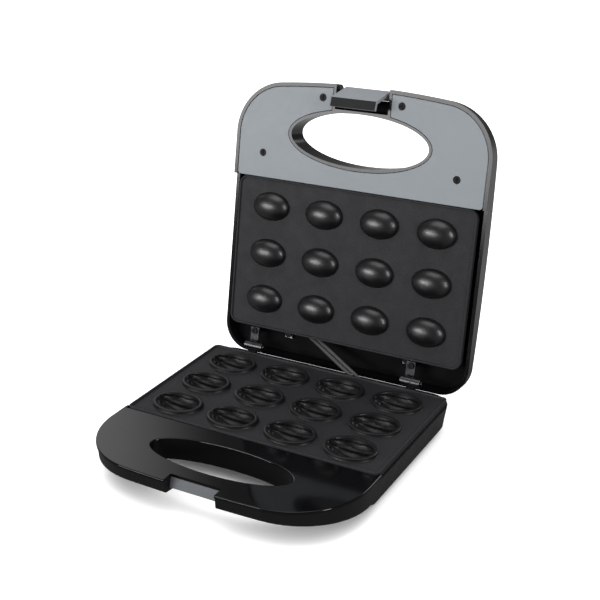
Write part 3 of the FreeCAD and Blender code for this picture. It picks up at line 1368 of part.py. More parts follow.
document.recompute()
for item in document.Objects:
    if "Invalid" in item.State or "Error" in item.State:
        raise RuntimeError(f"{item.Label} did not build: {item.State}")
for node, thing in nodes.items():
    if thing.Shape.isNull() or not thing.Shape.isValid() or not thing.Shape.Solids:
        raise RuntimeError(f"{node} has no valid solid")

os.makedirs("parts", exist_ok=True)
for node, thing in nodes.items():
    thing.Shape.exportStep(f"parts/{node}.step")
    print(f"{node}: {len(thing.Shape.Solids)} solid, {thing.Shape.Volume / 1000:.1f} cm3")
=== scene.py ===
import bmesh
import bpy
import json
import math
from mathutils import Matrix, Vector


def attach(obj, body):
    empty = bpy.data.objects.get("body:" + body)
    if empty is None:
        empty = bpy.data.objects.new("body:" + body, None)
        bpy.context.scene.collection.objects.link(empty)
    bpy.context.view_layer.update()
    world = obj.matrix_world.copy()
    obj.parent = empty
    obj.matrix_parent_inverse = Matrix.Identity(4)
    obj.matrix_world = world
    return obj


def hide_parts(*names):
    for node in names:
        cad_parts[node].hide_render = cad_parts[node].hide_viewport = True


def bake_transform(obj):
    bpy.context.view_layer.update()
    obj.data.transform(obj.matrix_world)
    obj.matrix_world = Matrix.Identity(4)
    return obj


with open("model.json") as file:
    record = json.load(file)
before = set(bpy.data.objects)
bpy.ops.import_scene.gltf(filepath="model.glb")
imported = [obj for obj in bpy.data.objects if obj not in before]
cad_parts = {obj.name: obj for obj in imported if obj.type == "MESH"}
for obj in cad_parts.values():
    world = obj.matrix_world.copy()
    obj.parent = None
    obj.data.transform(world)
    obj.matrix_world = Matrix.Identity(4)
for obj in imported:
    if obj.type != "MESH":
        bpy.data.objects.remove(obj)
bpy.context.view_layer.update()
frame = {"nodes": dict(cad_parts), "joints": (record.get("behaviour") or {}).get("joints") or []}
nodes = frame["nodes"]
MM = 0.001


# Places and sizes shared with the solids. The plates are drawn with the lid closed, and the lid's is then
# turned open. The grid is the middle of the twelve moulds, which everything on the plates is measured from.

HINGE = Vector(next(joint["pos_m"] for joint in frame["joints"] if joint["name"] == "lid_hinge"))
HINGE_BEHIND_GRID = 85.37 * MM
GRID_Y = HINGE.y - HINGE_BEHIND_GRID
PITCH_X, PITCH_Y = 52.0 * MM, 41.67 * MM
OPEN_ANGLE = math.radians(100.9)
LID_UP = Matrix.Rotation(-OPEN_ANGLE, 3, "X") @ Vector((0, 0, 1))
# The way the latch's front lip looks, where shade is painted on it
LATCH_LIP_PAINTED_SHADE_FACING = Vector((0, -0.93, 0.37))
LID_TURN = Matrix.Translation(HINGE) @ Matrix.Rotation(-OPEN_ANGLE, 4, "X") @ Matrix.Translation(-HINGE)
PLATE_HALF_WIDTH = 111.6 * MM
PLATE_FRONT, PLATE_REAR = GRID_Y - 64.77 * MM, GRID_Y + 68.17 * MM
PLATE_CORNER_SEGMENTS = 8
LID_PLATE_REACH = 1.2 * MM
PLATE_THICKNESS = 3.0 * MM
RIM_HEIGHT, RIM_WIDTH, RIM_DRAFT = 1.5 * MM, 1.5 * MM, 0.3 * MM
EDGE_ROUNDING = 0.3 * MM
SAME_LEVEL = 0.03 * MM
SHARP_TURN = 1.0
BASE_FACE, LID_FACE = 30.0 * MM, 33.3 * MM
BASE_CORNER, LID_CORNER = 4.0 * MM, 8.0 * MM
NUT_AXIS_LEVEL = 34.0 * MM
BOWL_LENGTH, BOWL_WIDTH = 18.6 * MM, 14.1 * MM
BOWL_WALL, GROOVE_DEPTH = 2.9 * MM, 0.9 * MM
HOLE_INTO_WALL = 1.15 * MM
COLLAR_LENGTH, COLLAR_WIDTH = 21.3 * MM, 16.8 * MM
DOME_SIZE, DOME_SUNK = Vector((17.6, 12.6, 9.5)) * MM, 0.3 * MM
DOME_SEGMENTS, DOME_RINGS = 56, 32


# Camera: the photograph's own viewpoint

CAMERA_PLACE = Vector((410.8, -715.3, 469.0)) * MM + Vector((0, GRID_Y, 0))
CAMERA_AZIMUTH, CAMERA_ELEVATION, CAMERA_ROLL = 29.10, 22.85, -0.52
CAMERA_LENS, CAMERA_SENSOR = 69.0, 36.0


def make_camera():
    azimuth, elevation, roll = map(math.radians, (CAMERA_AZIMUTH, CAMERA_ELEVATION, CAMERA_ROLL))
    level = math.cos(elevation)
    back = Vector((math.sin(azimuth) * level, -math.cos(azimuth) * level, math.sin(elevation)))
    level_right = (-back).cross(Vector((0, 0, 1))).normalized()
    level_up = level_right.cross(-back)
    right = level_right * math.cos(roll) + level_up * math.sin(roll)
    up = level_up * math.cos(roll) - level_right * math.sin(roll)
    data = bpy.data.cameras.new("camera")
    data.lens = CAMERA_LENS
    data.sensor_width = CAMERA_SENSOR
    camera = bpy.data.objects.new("camera", data)
    turn = Matrix((right, up, back)).transposed()
    camera.matrix_world = Matrix.Translation(CAMERA_PLACE) @ turn.to_4x4()
    bpy.context.scene.collection.objects.link(camera)
    bpy.context.scene.camera = camera


# Materials

# How far behind the lid's rim its dull inside begins, and how nearly a face has to look one way to count,
# for the dull inside and for the painted shade; each blend runs over its span
LID_INSIDE_DEPTH = (8.0 * MM, 10.0 * MM)
LOOKING_OUT, PAINTED_SHADE_FACING_SPAN = (0.4, 0.6), (0.88, 0.96)


def socket(node, name, setting):
    node.inputs[name].default_value = setting


class Finish:
    """One procedural material on a Principled shader; the patterns read Object coordinates, in metres."""

    def __init__(self, name, colour, roughness, metallic=0.0, ior=1.5):
        self.material = bpy.data.materials.new(name)
        self.material.use_nodes = True
        self.tree = self.material.node_tree
        self.shader = self.tree.nodes["Principled BSDF"]
        coordinates = self.tree.nodes.new("ShaderNodeTexCoord")
        self.place, self.face = coordinates.outputs["Object"], coordinates.outputs["Normal"]
        self.normal = None
        self.colour = colour
        socket(self.shader, "Base Color", (*colour, 1.0))
        socket(self.shader, "Roughness", roughness)
        socket(self.shader, "Metallic", metallic)
        socket(self.shader, "IOR", ior)

    def link(self, source, target):
        self.tree.links.new(source, target)

    def noise(self, size, detail=3.0, stretch=(1, 1, 1)):
        """A cloudy pattern whose lumps are about one size across, in metres."""
        mapping = self.tree.nodes.new("ShaderNodeMapping")
        socket(mapping, "Scale", stretch)
        cloud = self.tree.nodes.new("ShaderNodeTexNoise")
        socket(cloud, "Scale", 1.0 / size)
        socket(cloud, "Detail", detail)
        self.link(self.place, mapping.inputs["Vector"])
        self.link(mapping.outputs["Vector"], cloud.inputs["Vector"])
        return cloud.outputs["Fac"]

    def spread(self, pattern, low, high, span=(0.35, 0.65)):
        """Runs a pattern's middle band from one number to another."""
        ranger = self.tree.nodes.new("ShaderNodeMapRange")
        for name, setting in zip(("From Min", "From Max", "To Min", "To Max"), (*span, low, high)):
            socket(ranger, name, setting)
        self.link(pattern, ranger.inputs["Value"])
        return ranger.outputs["Result"]

    def mottle(self, size, amount, detail=3.0):
        """Lets the colour drift a little lighter and darker."""
        mixer = self.tree.nodes.new("ShaderNodeMix")
        mixer.data_type = "RGBA"
        dark, light = (tuple(part * (1 + sign * amount) for part in self.colour) for sign in (-1, 1))
        mixer.inputs["A"].default_value = (*dark, 1.0)
        mixer.inputs["B"].default_value = (*light, 1.0)
        self.link(self.spread(self.noise(size, detail), 0.0, 1.0), mixer.inputs["Factor"])
        self.link(mixer.outputs["Result"], self.shader.inputs["Base Color"])
        return self

    def cloud_gloss(self, size, low, high):
        """Lets the roughness drift between two numbers."""
        self.link(self.spread(self.noise(size, 4.0), low, high), self.shader.inputs["Roughness"])
        return self

    def grain(self, size, depth, stretch=(1, 1, 1)):
        """A moulded, sprayed or brushed relief; each call lies over the one before."""
        bump = self.tree.nodes.new("ShaderNodeBump")
        socket(bump, "Distance", depth)
        self.link(self.noise(size, 2.0, stretch), bump.inputs["Height"])
        if self.normal:
            self.link(self.normal, bump.inputs["Normal"])
        self.normal = bump.outputs["Normal"]
        self.link(self.normal, self.shader.inputs["Normal"])
        return self

    def along(self, source, direction, span):
        """Runs from 0 to 1 as a place or a face's direction, measured along one direction, crosses a span."""
        measure = self.tree.nodes.new("ShaderNodeVectorMath")
        measure.operation = "DOT_PRODUCT"
        measure.inputs[1].default_value = direction
        self.link(source, measure.inputs[0])
        return self.spread(measure.outputs["Value"], 0.0, 1.0, span)

    def dull_inside(self, gloss, dull):
        """Leaves the inside of the lid as a dull moulding: faces that look out of its mouth, behind its rim."""
        rim = LID_UP.dot(HINGE)
        behind = self.along(self.place, LID_UP, tuple(rim + depth for depth in LID_INSIDE_DEPTH))
        outward = self.along(self.face, -LID_UP, LOOKING_OUT)
        both = self.tree.nodes.new("ShaderNodeMath")
        both.operation = "MULTIPLY"
        self.link(behind, both.inputs[0])
        self.link(outward, both.inputs[1])
        self.link(self.spread(both.outputs[0], gloss, dull, (0.0, 1.0)), self.shader.inputs["Roughness"])
        return self

    def painted_shade_side(self, direction, share):
        """Painted shade: faces that look along a direction take a darker tone; it follows mottle."""
        mixer = self.tree.nodes.new("ShaderNodeMix")
        mixer.data_type = "RGBA"
        self.link(self.shader.inputs["Base Color"].links[0].from_socket, mixer.inputs["A"])
        mixer.inputs["B"].default_value = (*(part * share for part in self.colour), 1.0)
        self.link(self.along(self.face, direction, PAINTED_SHADE_FACING_SPAN), mixer.inputs["Factor"])
        self.link(mixer.outputs["Result"], self.shader.inputs["Base Color"])
        return self


def make_finishes():
    finishes = {
        "panel": Finish("satin_grey_panel", (0.275, 0.303, 0.328), 0.42).mottle(0.05, 0.03)
        .cloud_gloss(0.004, 0.40, 0.44).grain(0.0006, 0.00002),
        "shell": Finish("polished_black_shell", (0.0045, 0.0045, 0.005), 0.16, ior=1.38).mottle(0.04, 0.1)
        .grain(0.004, 0.00001).dull_inside(0.16, 1.0),
        "black": Finish("satin_black_plastic", (0.0045, 0.0045, 0.0048), 0.28).mottle(0.03, 0.1)
        .cloud_gloss(0.02, 0.24, 0.34).grain(0.0007, 0.00002),
        "gloss": Finish("polished_black_plastic", (0.0025, 0.0025, 0.003), 0.07, ior=1.44).mottle(0.04, 0.1)
        .cloud_gloss(0.03, 0.06, 0.09).grain(0.008, 0.000004),
        "coating": Finish("non_stick_coating", (0.0165, 0.0155, 0.0190), 0.63).mottle(0.0015, 0.2, 4.0)
        .cloud_gloss(0.01, 0.60, 0.66).grain(0.0005, 0.00003).grain(0.004, 0.00006),
        "mould": Finish("smooth_mould_coating", (0.0028, 0.0027, 0.0031), 0.35, ior=1.8)
        .mottle(0.0015, 0.2, 4.0).cloud_gloss(0.006, 0.33, 0.38).grain(0.0007, 0.00001),
        "cup": Finish("ribbed_cup_coating", (0.0050, 0.0048, 0.0054), 0.42).mottle(0.0015, 0.2, 4.0)
        .cloud_gloss(0.006, 0.39, 0.46).grain(0.0007, 0.00001),
        # The latch's forward-looking lip is painted dark: painted shade
        "latch": Finish("satin_grey_latch", (0.300, 0.320, 0.340), 0.40).mottle(0.03, 0.03)
        .painted_shade_side(LATCH_LIP_PAINTED_SHADE_FACING, 0.03).grain(0.0006, 0.00002),
        "catch": Finish("dark_grey_catch", (0.105, 0.115, 0.125), 0.45).mottle(0.03, 0.03)
        .grain(0.0006, 0.00002),
        "steel": Finish("pressed_steel", (0.10, 0.10, 0.105), 0.34, metallic=1.0).mottle(0.003, 0.12)
        .cloud_gloss(0.002, 0.28, 0.42).grain(0.0004, 0.00002, stretch=(1, 6, 1)),
        "tin": Finish("tinned_sheet", (0.60, 0.60, 0.62), 0.28, metallic=1.0).mottle(0.012, 0.1)
        .cloud_gloss(0.01, 0.22, 0.36).grain(0.001, 0.00002),
        "sheath": Finish("element_sheath", (0.40, 0.39, 0.38), 0.45, metallic=1.0).mottle(0.008, 0.2)
        .grain(0.0005, 0.00003),
        "screw": Finish("blackened_screw", (0.010, 0.010, 0.011), 0.55, ior=1.35).mottle(0.0015, 0.2)
        .grain(0.0005, 0.00002),
        "rubber": Finish("foot_rubber", (0.012, 0.012, 0.012), 0.75).mottle(0.002, 0.2).grain(0.0006, 0.00005),
        "phenolic": Finish("brown_phenolic", (0.055, 0.040, 0.030), 0.55).mottle(0.002, 0.2)
        .grain(0.0005, 0.00003),
        "nylon": Finish("white_nylon", (0.62, 0.61, 0.57), 0.5).mottle(0.01, 0.04).grain(0.0006, 0.00003),
        "sleeve": Finish("woven_sleeve", (0.075, 0.075, 0.075), 0.6).mottle(0.0012, 0.25)
        .grain(0.0007, 0.00008),
        # Both lenses: faces that look into the lid are painted dark: painted shade
        "red": Finish("red_lens", (0.50, 0.02, 0.015), 0.12).mottle(0.003, 0.1)
        .painted_shade_side(-LID_UP, 0.02).grain(0.001, 0.00002),
        "green": Finish("green_lens", (0.02, 0.32, 0.06), 0.12).mottle(0.003, 0.1)
        .painted_shade_side(-LID_UP, 0.02).grain(0.001, 0.00002),
    }
    return {name: finish.material for name, finish in finishes.items()}


NODE_FINISHES = {
    "panel": ("lid_handle_panel",),
    "shell": ("lid_housing",),
    "black": ("base_housing",),
    "gloss": ("base_handle_cover",),
    "coating": ("base_cook_plate", "lid_cook_plate"),
    "latch": ("latch_clip",),
    "catch": ("catch_block",),
    "steel": ("base_hinge_bracket_left", "base_hinge_bracket_right", "lid_hinge_bracket_left",
              "lid_hinge_bracket_right", "hinge_pin_left", "hinge_pin_right", "latch_pin"),
    "tin": ("base_reflector", "lid_reflector"),
    "sheath": ("base_heating_element", "lid_heating_element", "thermal_fuse"),
    "screw": ("panel_screws", "base_screws", "lid_plate_screws", "lid_reflector_screws", "lid_bracket_screws",
              "base_bracket_screws"),
    "rubber": ("feet", "cord_gland"),
    "phenolic": ("thermostat", "lead_clamp"),
    "nylon": ("terminal_block",),
    "sleeve": ("linking_lead_a", "linking_lead_b"),
    "red": ("power_lamp_lens",),
    "green": ("ready_lamp_lens",),
}


def dress_nodes(finishes):
    for finish, names in NODE_FINISHES.items():
        for name in names:
            data = nodes[name].data
            data.materials.clear()
            data.materials.append(finishes[finish])


# Building pieces

def smooth_piece(shape, name, *materials, sharp_angle=32.0):
    """Turns a finished bmesh into an object whose creases stay sharp."""
    data = bpy.data.meshes.new(name)
    shape.to_mesh(data)
    shape.free()
    data.shade_smooth()
    data.set_sharp_from_angle(angle=math.radians(sharp_angle))
    for material in materials:
        data.materials.append(material)
    piece = bpy.data.objects.new(name, data)
    bpy.context.scene.collection.objects.link(piece)
    return piece


def mould_centres():
    return [Vector((column * PITCH_X, GRID_Y + line * PITCH_Y, 0))
            for line in (-1, 0, 1) for column in (-1.5, -0.5, 0.5, 1.5)]


def rimmed_plate(face_level, back, corner, reach=0.0):
    """A plate with a low wall round its face, longer by reach at the front.

    back is 1 if its face looks down, or -1 if it looks up.
    """
    shape = bmesh.new()
    rim_level = face_level - back * RIM_HEIGHT
    corners = [(-1, -1), (1, -1), (1, 1), (-1, 1)]
    if back > 0:
        corners.reverse()
    ends = {1: PLATE_REAR, -1: PLATE_FRONT - reach}
    shape.faces.new([shape.verts.new((x * PLATE_HALF_WIDTH, ends[y], rim_level)) for x, y in corners])
    bmesh.ops.bevel(shape, geom=shape.verts[:], offset=corner, segments=PLATE_CORNER_SEGMENTS, profile=0.5,
                    affect="VERTICES", material=-1)
    shape.faces.ensure_lookup_table()
    face = shape.faces[0]
    shape.normal_update()
    bmesh.ops.inset_region(shape, faces=[face], thickness=RIM_WIDTH, use_boundary=True, use_even_offset=True)
    bmesh.ops.inset_region(shape, faces=[face], thickness=RIM_DRAFT, depth=-RIM_HEIGHT, use_boundary=True,
                           use_even_offset=True)
    outer_edges = [edge for edge in shape.edges if edge.is_boundary]
    walls = bmesh.ops.extrude_edge_only(shape, edges=outer_edges)["geom"]
    moved = [part for part in walls if isinstance(part, bmesh.types.BMVert)]
    bmesh.ops.translate(shape, vec=(0, 0, back * (RIM_HEIGHT + PLATE_THICKNESS)), verts=moved)
    bmesh.ops.holes_fill(shape, edges=[part for part in walls if isinstance(part, bmesh.types.BMEdge)], sides=0)
    on_rim = {vert for vert in shape.verts if abs(vert.co.z - rim_level) < SAME_LEVEL}
    rims = [edge for edge in shape.edges if on_rim.issuperset(edge.verts)
            and edge.is_manifold and edge.calc_face_angle() > SHARP_TURN]
    bmesh.ops.bevel(shape, geom=rims, offset=EDGE_ROUNDING, segments=2, profile=0.5, affect="EDGES",
                    material=-1)
    return shape


def pattern_mesh(shape, name):
    """Keeps a small form as mesh data, to be copied to every mould."""
    data = bpy.data.meshes.new(name)
    shape.to_mesh(data)
    shape.free()
    return data


def copy_to_moulds(shape, pattern):
    """Sets a form at every mould, in the piece's second material."""
    pattern.polygons.foreach_set("material_index", [1] * len(pattern.polygons))
    for centre in mould_centres():
        pattern.transform(Matrix.Translation(centre))
        shape.from_mesh(pattern)
        pattern.transform(Matrix.Translation(-centre))
    bpy.data.meshes.remove(pattern)


# Lid plate with its smooth domes

def dome_pattern():
    shape = bmesh.new()
    bmesh.ops.create_uvsphere(shape, u_segments=DOME_SEGMENTS, v_segments=DOME_RINGS, radius=1.0)
    bmesh.ops.scale(shape, vec=DOME_SIZE, verts=shape.verts[:])
    bmesh.ops.bisect_plane(shape, geom=shape.verts[:] + shape.edges[:] + shape.faces[:],
                           plane_co=(0, 0, DOME_SUNK), plane_no=(0, 0, 1), clear_outer=True)
    bmesh.ops.holes_fill(shape, edges=[edge for edge in shape.edges if edge.is_boundary], sides=0)
    bmesh.ops.translate(shape, vec=(0, 0, LID_FACE), verts=shape.verts[:])
    return pattern_mesh(shape, "dome")


def make_lid_plate(*coatings):
    shape = rimmed_plate(LID_FACE, 1, LID_CORNER, LID_PLATE_REACH)
    copy_to_moulds(shape, dome_pattern())
    bmesh.ops.transform(shape, matrix=LID_TURN, verts=shape.verts[:])
    plate = smooth_piece(shape, "dome_plate", *coatings)
    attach(plate, "lid")
    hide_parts("lid_cook_plate")


# Base plate with its ribbed, collared bowls

# Angles round the nut's long axis, in degrees: the grooves, half their flat and half their width
GROOVE_ANGLES = (30.0, 60.0, 90.0, 120.0, 150.0)
GROOVE_FLAT, GROOVE_EDGE = 7.0, 12.0

# The shell's rings: angles below the nut's axis up its outside, the collar's outline in millimetres out from
# its size and up from the plate's face, and the bowl's first angle, the turn it makes and its steps
CUP_SEGMENTS = 112
OUTSIDE_ANGLES = (86, 75, 62, 50, 38, 28)
COLLAR_OUTLINE = ((0.9, -1.2), (1.1, -0.2), (0.55, 0.2), (0.18, 0.65), (0.0, 1.2), (0.0, 2.35), (-0.12, 2.72),
                  (-0.4, 2.93), (-0.75, 3.0), (-2.1, 3.0), (-2.45, 2.92))
BOWL_START, BOWL_TURN, BOWL_RINGS = 6, 80, 26


def groove_share(place):
    """How far a point of the bowl lies in a groove, from 0 on a rib's crest to 1 on a groove's floor."""
    turn = math.degrees(math.atan2(NUT_AXIS_LEVEL - place.z, place.y))
    distance = min(abs(turn - middle) for middle in GROOVE_ANGLES)
    share = min(max((GROOVE_EDGE - distance) / (GROOVE_EDGE - GROOVE_FLAT), 0.0), 1.0)
    return share * share * (3 - 2 * share)


def nut_ring(wall, angle):
    """Half length, half width and level of the nut's form at an angle below its axis, grown by a wall."""
    turn = math.radians(angle)
    length, width = BOWL_LENGTH + wall, BOWL_WIDTH + wall
    return length * math.cos(turn), width * math.cos(turn), NUT_AXIS_LEVEL - width * math.sin(turn)


def cup_pattern():
    """One mould as a closed shell: up its outside, over the rolled collar and down into the grooved bowl."""
    outside = [nut_ring(BOWL_WALL, angle) for angle in OUTSIDE_ANGLES]
    collar = [(COLLAR_LENGTH + out * MM, COLLAR_WIDTH + out * MM, BASE_FACE + up * MM)
              for out, up in COLLAR_OUTLINE]
    bowl = [nut_ring(0.0, BOWL_START + BOWL_TURN * number / BOWL_RINGS) for number in range(BOWL_RINGS + 1)]
    rings = outside + collar + bowl
    grooved = []
    shape = bmesh.new()
    made = bmesh.ops.create_circle(shape, segments=CUP_SEGMENTS, radius=1.0)
    verts, edges = made["verts"], shape.edges[:]
    bmesh.ops.holes_fill(shape, edges=edges, sides=0)
    bmesh.ops.scale(shape, vec=(rings[0][0], rings[0][1], 1.0), verts=verts)
    bmesh.ops.translate(shape, vec=(0, 0, rings[0][2]), verts=verts)
    for before, after in zip(rings, rings[1:]):
        grown = bmesh.ops.extrude_edge_only(shape, edges=edges)["geom"]
        verts = [part for part in grown if isinstance(part, bmesh.types.BMVert)]
        edges = [part for part in grown if isinstance(part, bmesh.types.BMEdge)]
        bmesh.ops.scale(shape, vec=(after[0] / before[0], after[1] / before[1], 1.0), verts=verts)
        bmesh.ops.translate(shape, vec=(0, 0, after[2] - before[2]), verts=verts)
        if after in bowl:
            grooved.extend(verts)
    bmesh.ops.holes_fill(shape, edges=edges, sides=0)
    for vert in grooved:
        push = 1 + groove_share(vert.co) * GROOVE_DEPTH / BOWL_WIDTH
        above_axis = vert.co.z - NUT_AXIS_LEVEL
        vert.co = Vector((vert.co.x * push, vert.co.y * push, NUT_AXIS_LEVEL + above_axis * push))
    bmesh.ops.recalc_face_normals(shape, faces=shape.faces[:])
    return pattern_mesh(shape, "cup")


def pierce(shape, level, length, width):
    """Opens an oval hole at every mould in the flat face at one level; returns the ovals' edges."""
    shape.normal_update()
    face = max((face for face in shape.faces if abs(face.calc_center_median().z - level) < SAME_LEVEL
                and abs(face.normal.z) > 0.9), key=lambda face: face.calc_area())
    around = list(face.edges)
    bmesh.ops.delete(shape, geom=[face], context="FACES_ONLY")
    ovals = []
    for centre in mould_centres():
        verts = bmesh.ops.create_circle(shape, segments=CUP_SEGMENTS // 2, radius=1.0)["verts"]
        bmesh.ops.scale(shape, vec=(length, width, 1.0), verts=verts)
        bmesh.ops.translate(shape, vec=centre + Vector((0, 0, level)), verts=verts)
        ovals.append(list({edge for vert in verts for edge in vert.link_edges}))
    flat = [edge for oval in ovals for edge in oval]
    bmesh.ops.triangle_fill(shape, use_beauty=True, use_dissolve=False, edges=around + flat)
    return ovals


def make_base_plate(*coatings):
    shape = rimmed_plate(BASE_FACE, -1, BASE_CORNER)
    length, width = BOWL_LENGTH + HOLE_INTO_WALL, BOWL_WIDTH + HOLE_INTO_WALL
    tops = pierce(shape, BASE_FACE, length, width)
    backs = pierce(shape, BASE_FACE - PLATE_THICKNESS, length, width)
    for top, back in zip(tops, backs):
        bmesh.ops.bridge_loops(shape, edges=top + back)
    bmesh.ops.recalc_face_normals(shape, faces=shape.faces[:])
    copy_to_moulds(shape, cup_pattern())
    plate = smooth_piece(shape, "mould_plate", *coatings)
    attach(plate, "base")
    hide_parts("base_cook_plate")


# Linking leads: sleeved, out of the lid and down into the base

LEAD_RADIUS = 1.5 * MM
LEAD_SPREAD = 7.0 * MM
# In millimetres from the grid, from inside the lid down into the base
LEAD_ROUTE = ((-38.4, 102.0, 51.8), (-38.4, 101.3, 48.0), (-38.0, 100.5, 44.9), (-26.0, 95.0, 41.6),
              (8.0, 78.6, 32.2), (23.2, 71.5, 28.3), (23.2, 71.5, 24.5), (23.2, 71.5, 20.2))


def make_lead(name, node, shift, material):
    line = bpy.data.curves.new(name, "CURVE")
    line.dimensions = "3D"
    line.resolution_u = 16
    line.bevel_depth = LEAD_RADIUS
    line.bevel_resolution = 5
    line.use_fill_caps = True
    spline = line.splines.new("NURBS")
    spline.points.add(len(LEAD_ROUTE) - 1)
    route = [Vector(place) * MM + Vector((shift, GRID_Y, 0)) for place in LEAD_ROUTE]
    for point, place in zip(spline.points, route):
        point.co = (*place, 1.0)
    spline.order_u = 3
    spline.use_endpoint_u = True
    carrier = bpy.data.objects.new(name + "_line", line)
    bpy.context.scene.collection.objects.link(carrier)
    depsgraph = bpy.context.evaluated_depsgraph_get()
    data = bpy.data.meshes.new_from_object(carrier.evaluated_get(depsgraph))
    bpy.data.objects.remove(carrier)
    data.shade_smooth()
    data.materials.clear()
    data.materials.append(material)
    lead = bpy.data.objects.new(name, data)
    bpy.context.scene.collection.objects.link(lead)
    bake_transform(lead)
    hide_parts(node)


# Studio: the world, the table top and the lamps

# The world's strength in front and behind, the share of it that gloss sees and where the front runs into
# the back, then the white backdrop that gloss sees, the way to it and its soft edge
FRONT_LIGHT, BACK_LIGHT, GLOSS_ROOM = 0.52, 0.55, 0.20
ROOM_TURNS = (-0.45, 0.35)
BACKDROP, BACKDROP_TOWARDS, BACKDROP_EDGE = 1.20, Vector((-0.75, 0.433, 0.50)), (0.92, 0.96)

# The table top, in metres: where it fades into white, how grey other rays find it in front and behind,
# and how far off the appliance casts a painted shadow on the glow that is added to it
TABLE_HALF_WIDTH = 6.0
TABLE_WHITE = 0.90
FLOOR_FADE = (0.20, 0.42)
FLOOR_IN_GLOSS = (0.16, 0.42, (0.12, 0.35))
SHADOW_REACH, SHADOW_GLOW = 0.16, (0.04, 0.85, (0.05, 0.85))

# Each lamp's place, what it points at, its size in metres and its power in watts
LAMPS = {
    "key_softbox": ((-0.76, -1.30, 0.40), (0, 0.08, 0.18), (0.90, 0.34), 10.0),
    "top_softbox": ((-0.1, -0.2, 1.9), (0, 0, 0.1), (1.4, 1.4), 9.0),
    "back_softbox": ((0.5, 1.5, 1.1), (0, 0.3, 0.0), (1.0, 0.8), 9.0),
    "side_softbox": ((1.4, -0.6, 0.6), (0.05, 0, 0.16), (0.25, 0.8), 7.0),
}


def mapped(tree, source, low, high, span=(0.0, 1.0)):
    """Runs a number smoothly from low to high over a span."""
    ranger = tree.nodes.new("ShaderNodeMapRange")
    ranger.interpolation_type = "SMOOTHSTEP"
    for name, setting in zip(("From Min", "From Max", "To Min", "To Max"), (*span, low, high)):
        socket(ranger, name, setting)
    tree.links.new(source, ranger.inputs["Value"])
    return ranger


def ray_kinds(tree):
    """Two outputs: 1 where the camera looks, straight or through glass, and 1 where gloss looks."""
    path = tree.nodes.new("ShaderNodeLightPath")
    either = tree.nodes.new("ShaderNodeMath")
    either.operation = "MAXIMUM"
    tree.links.new(path.outputs["Is Camera Ray"], either.inputs[0])
    tree.links.new(path.outputs["Is Transmission Ray"], either.inputs[1])
    return either.outputs[0], path.outputs["Is Glossy Ray"]


def table_material():
    """White with the appliance's shadow, real and painted, where the camera looks, fading into the backdrop;
    else grey.
    """
    material = bpy.data.materials.new("table_top")
    material.use_nodes = True
    tree = material.node_tree
    tree.nodes.clear()
    white = tree.nodes.new("ShaderNodeBsdfDiffuse")
    socket(white, "Color", (TABLE_WHITE, TABLE_WHITE, TABLE_WHITE, 1.0))
    grey = tree.nodes.new("ShaderNodeBsdfDiffuse")
    place = tree.nodes.new("ShaderNodeTexCoord")
    parts = tree.nodes.new("ShaderNodeSeparateXYZ")
    tree.links.new(place.outputs["Object"], parts.inputs[0])
    tree.links.new(mapped(tree, parts.outputs["Y"], *FLOOR_IN_GLOSS).outputs["Result"], grey.inputs["Color"])
    far = tree.nodes.new("ShaderNodeVectorMath")
    far.operation = "LENGTH"
    tree.links.new(place.outputs["Object"], far.inputs[0])
    # Painted shadow: ambient occlusion dims the added glow where the appliance is near
    open_sky = tree.nodes.new("ShaderNodeAmbientOcclusion")
    socket(open_sky, "Distance", SHADOW_REACH)
    near_glow = mapped(tree, open_sky.outputs["AO"], *SHADOW_GLOW)
    glow_reach = mapped(tree, far.outputs["Value"], 0.0, 1.0, FLOOR_FADE)
    tree.links.new(near_glow.outputs["Result"], glow_reach.inputs["To Min"])
    glow = tree.nodes.new("ShaderNodeEmission")
    tree.links.new(glow_reach.outputs["Result"], glow.inputs["Strength"])
    lit = tree.nodes.new("ShaderNodeAddShader")
    tree.links.new(white.outputs[0], lit.inputs[0])
    tree.links.new(glow.outputs[0], lit.inputs[1])
    chosen = tree.nodes.new("ShaderNodeMixShader")
    output = tree.nodes.new("ShaderNodeOutputMaterial")
    directly, _ = ray_kinds(tree)
    tree.links.new(directly, chosen.inputs["Fac"])
    tree.links.new(grey.outputs[0], chosen.inputs[1])
    tree.links.new(lit.outputs[0], chosen.inputs[2])
    tree.links.new(chosen.outputs[0], output.inputs["Surface"])
    return material


def make_floor():
    shape = bmesh.new()
    bmesh.ops.create_grid(shape, x_segments=1, y_segments=1, size=TABLE_HALF_WIDTH)
    data = bpy.data.meshes.new("table_top")
    shape.to_mesh(data)
    shape.free()
    data.materials.append(table_material())
    floor = bpy.data.objects.new("table_top", data)
    bpy.context.scene.collection.objects.link(floor)


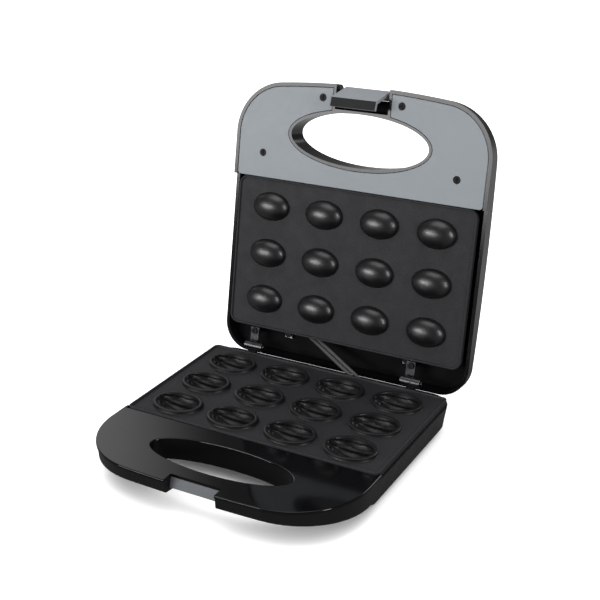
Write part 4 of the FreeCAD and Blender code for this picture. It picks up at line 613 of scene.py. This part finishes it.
def make_world():
    """White where the camera looks; gloss sees the white backdrop behind on the left, in a dimmer room."""
    world = bpy.data.worlds.new("surround")
    bpy.context.scene.world = world
    world.use_nodes = True
    tree = world.node_tree
    background = tree.nodes["Background"]
    socket(background, "Color", (1.0, 1.0, 1.0, 1.0))
    direction = tree.nodes.new("ShaderNodeTexCoord").outputs["Generated"]
    parts = tree.nodes.new("ShaderNodeSeparateXYZ")
    tree.links.new(direction, parts.inputs[0])
    room = mapped(tree, parts.outputs["Y"], FRONT_LIGHT, BACK_LIGHT, ROOM_TURNS)
    dim_room = mapped(tree, parts.outputs["Y"], FRONT_LIGHT * GLOSS_ROOM, BACK_LIGHT * GLOSS_ROOM, ROOM_TURNS)
    towards = tree.nodes.new("ShaderNodeVectorMath")
    towards.operation = "DOT_PRODUCT"
    towards.inputs[1].default_value = BACKDROP_TOWARDS
    tree.links.new(direction, towards.inputs[0])
    backdrop = mapped(tree, towards.outputs["Value"], 0.0, BACKDROP, BACKDROP_EDGE)
    tree.links.new(dim_room.outputs["Result"], backdrop.inputs["To Min"])
    directly, gloss = ray_kinds(tree)
    for_gloss = mapped(tree, gloss, 0.0, 1.0)
    tree.links.new(room.outputs["Result"], for_gloss.inputs["To Min"])
    tree.links.new(backdrop.outputs["Result"], for_gloss.inputs["To Max"])
    strength = mapped(tree, directly, 0.0, 1.0)
    tree.links.new(for_gloss.outputs["Result"], strength.inputs["To Min"])
    tree.links.new(strength.outputs["Result"], background.inputs["Strength"])


def make_lamps():
    for name, (place, target, size, power) in LAMPS.items():
        data = bpy.data.lights.new(name, "AREA")
        data.shape = "RECTANGLE"
        data.size, data.size_y = size
        data.energy = power
        lamp = bpy.data.objects.new(name, data)
        lamp.location = place
        lamp.rotation_euler = (Vector(target) - Vector(place)).to_track_quat("-Z", "Y").to_euler()
        bpy.context.scene.collection.objects.link(lamp)


make_camera()
finishes = make_finishes()
dress_nodes(finishes)
make_lid_plate(finishes["coating"], finishes["mould"])
make_base_plate(finishes["coating"], finishes["cup"])
make_lead("lead_near", "linking_lead_a", 0.0, finishes["sleeve"])
make_lead("lead_far", "linking_lead_b", LEAD_SPREAD, finishes["sleeve"])
make_floor()
make_world()
make_lamps()
bpy.context.scene.view_settings.view_transform = "Standard"
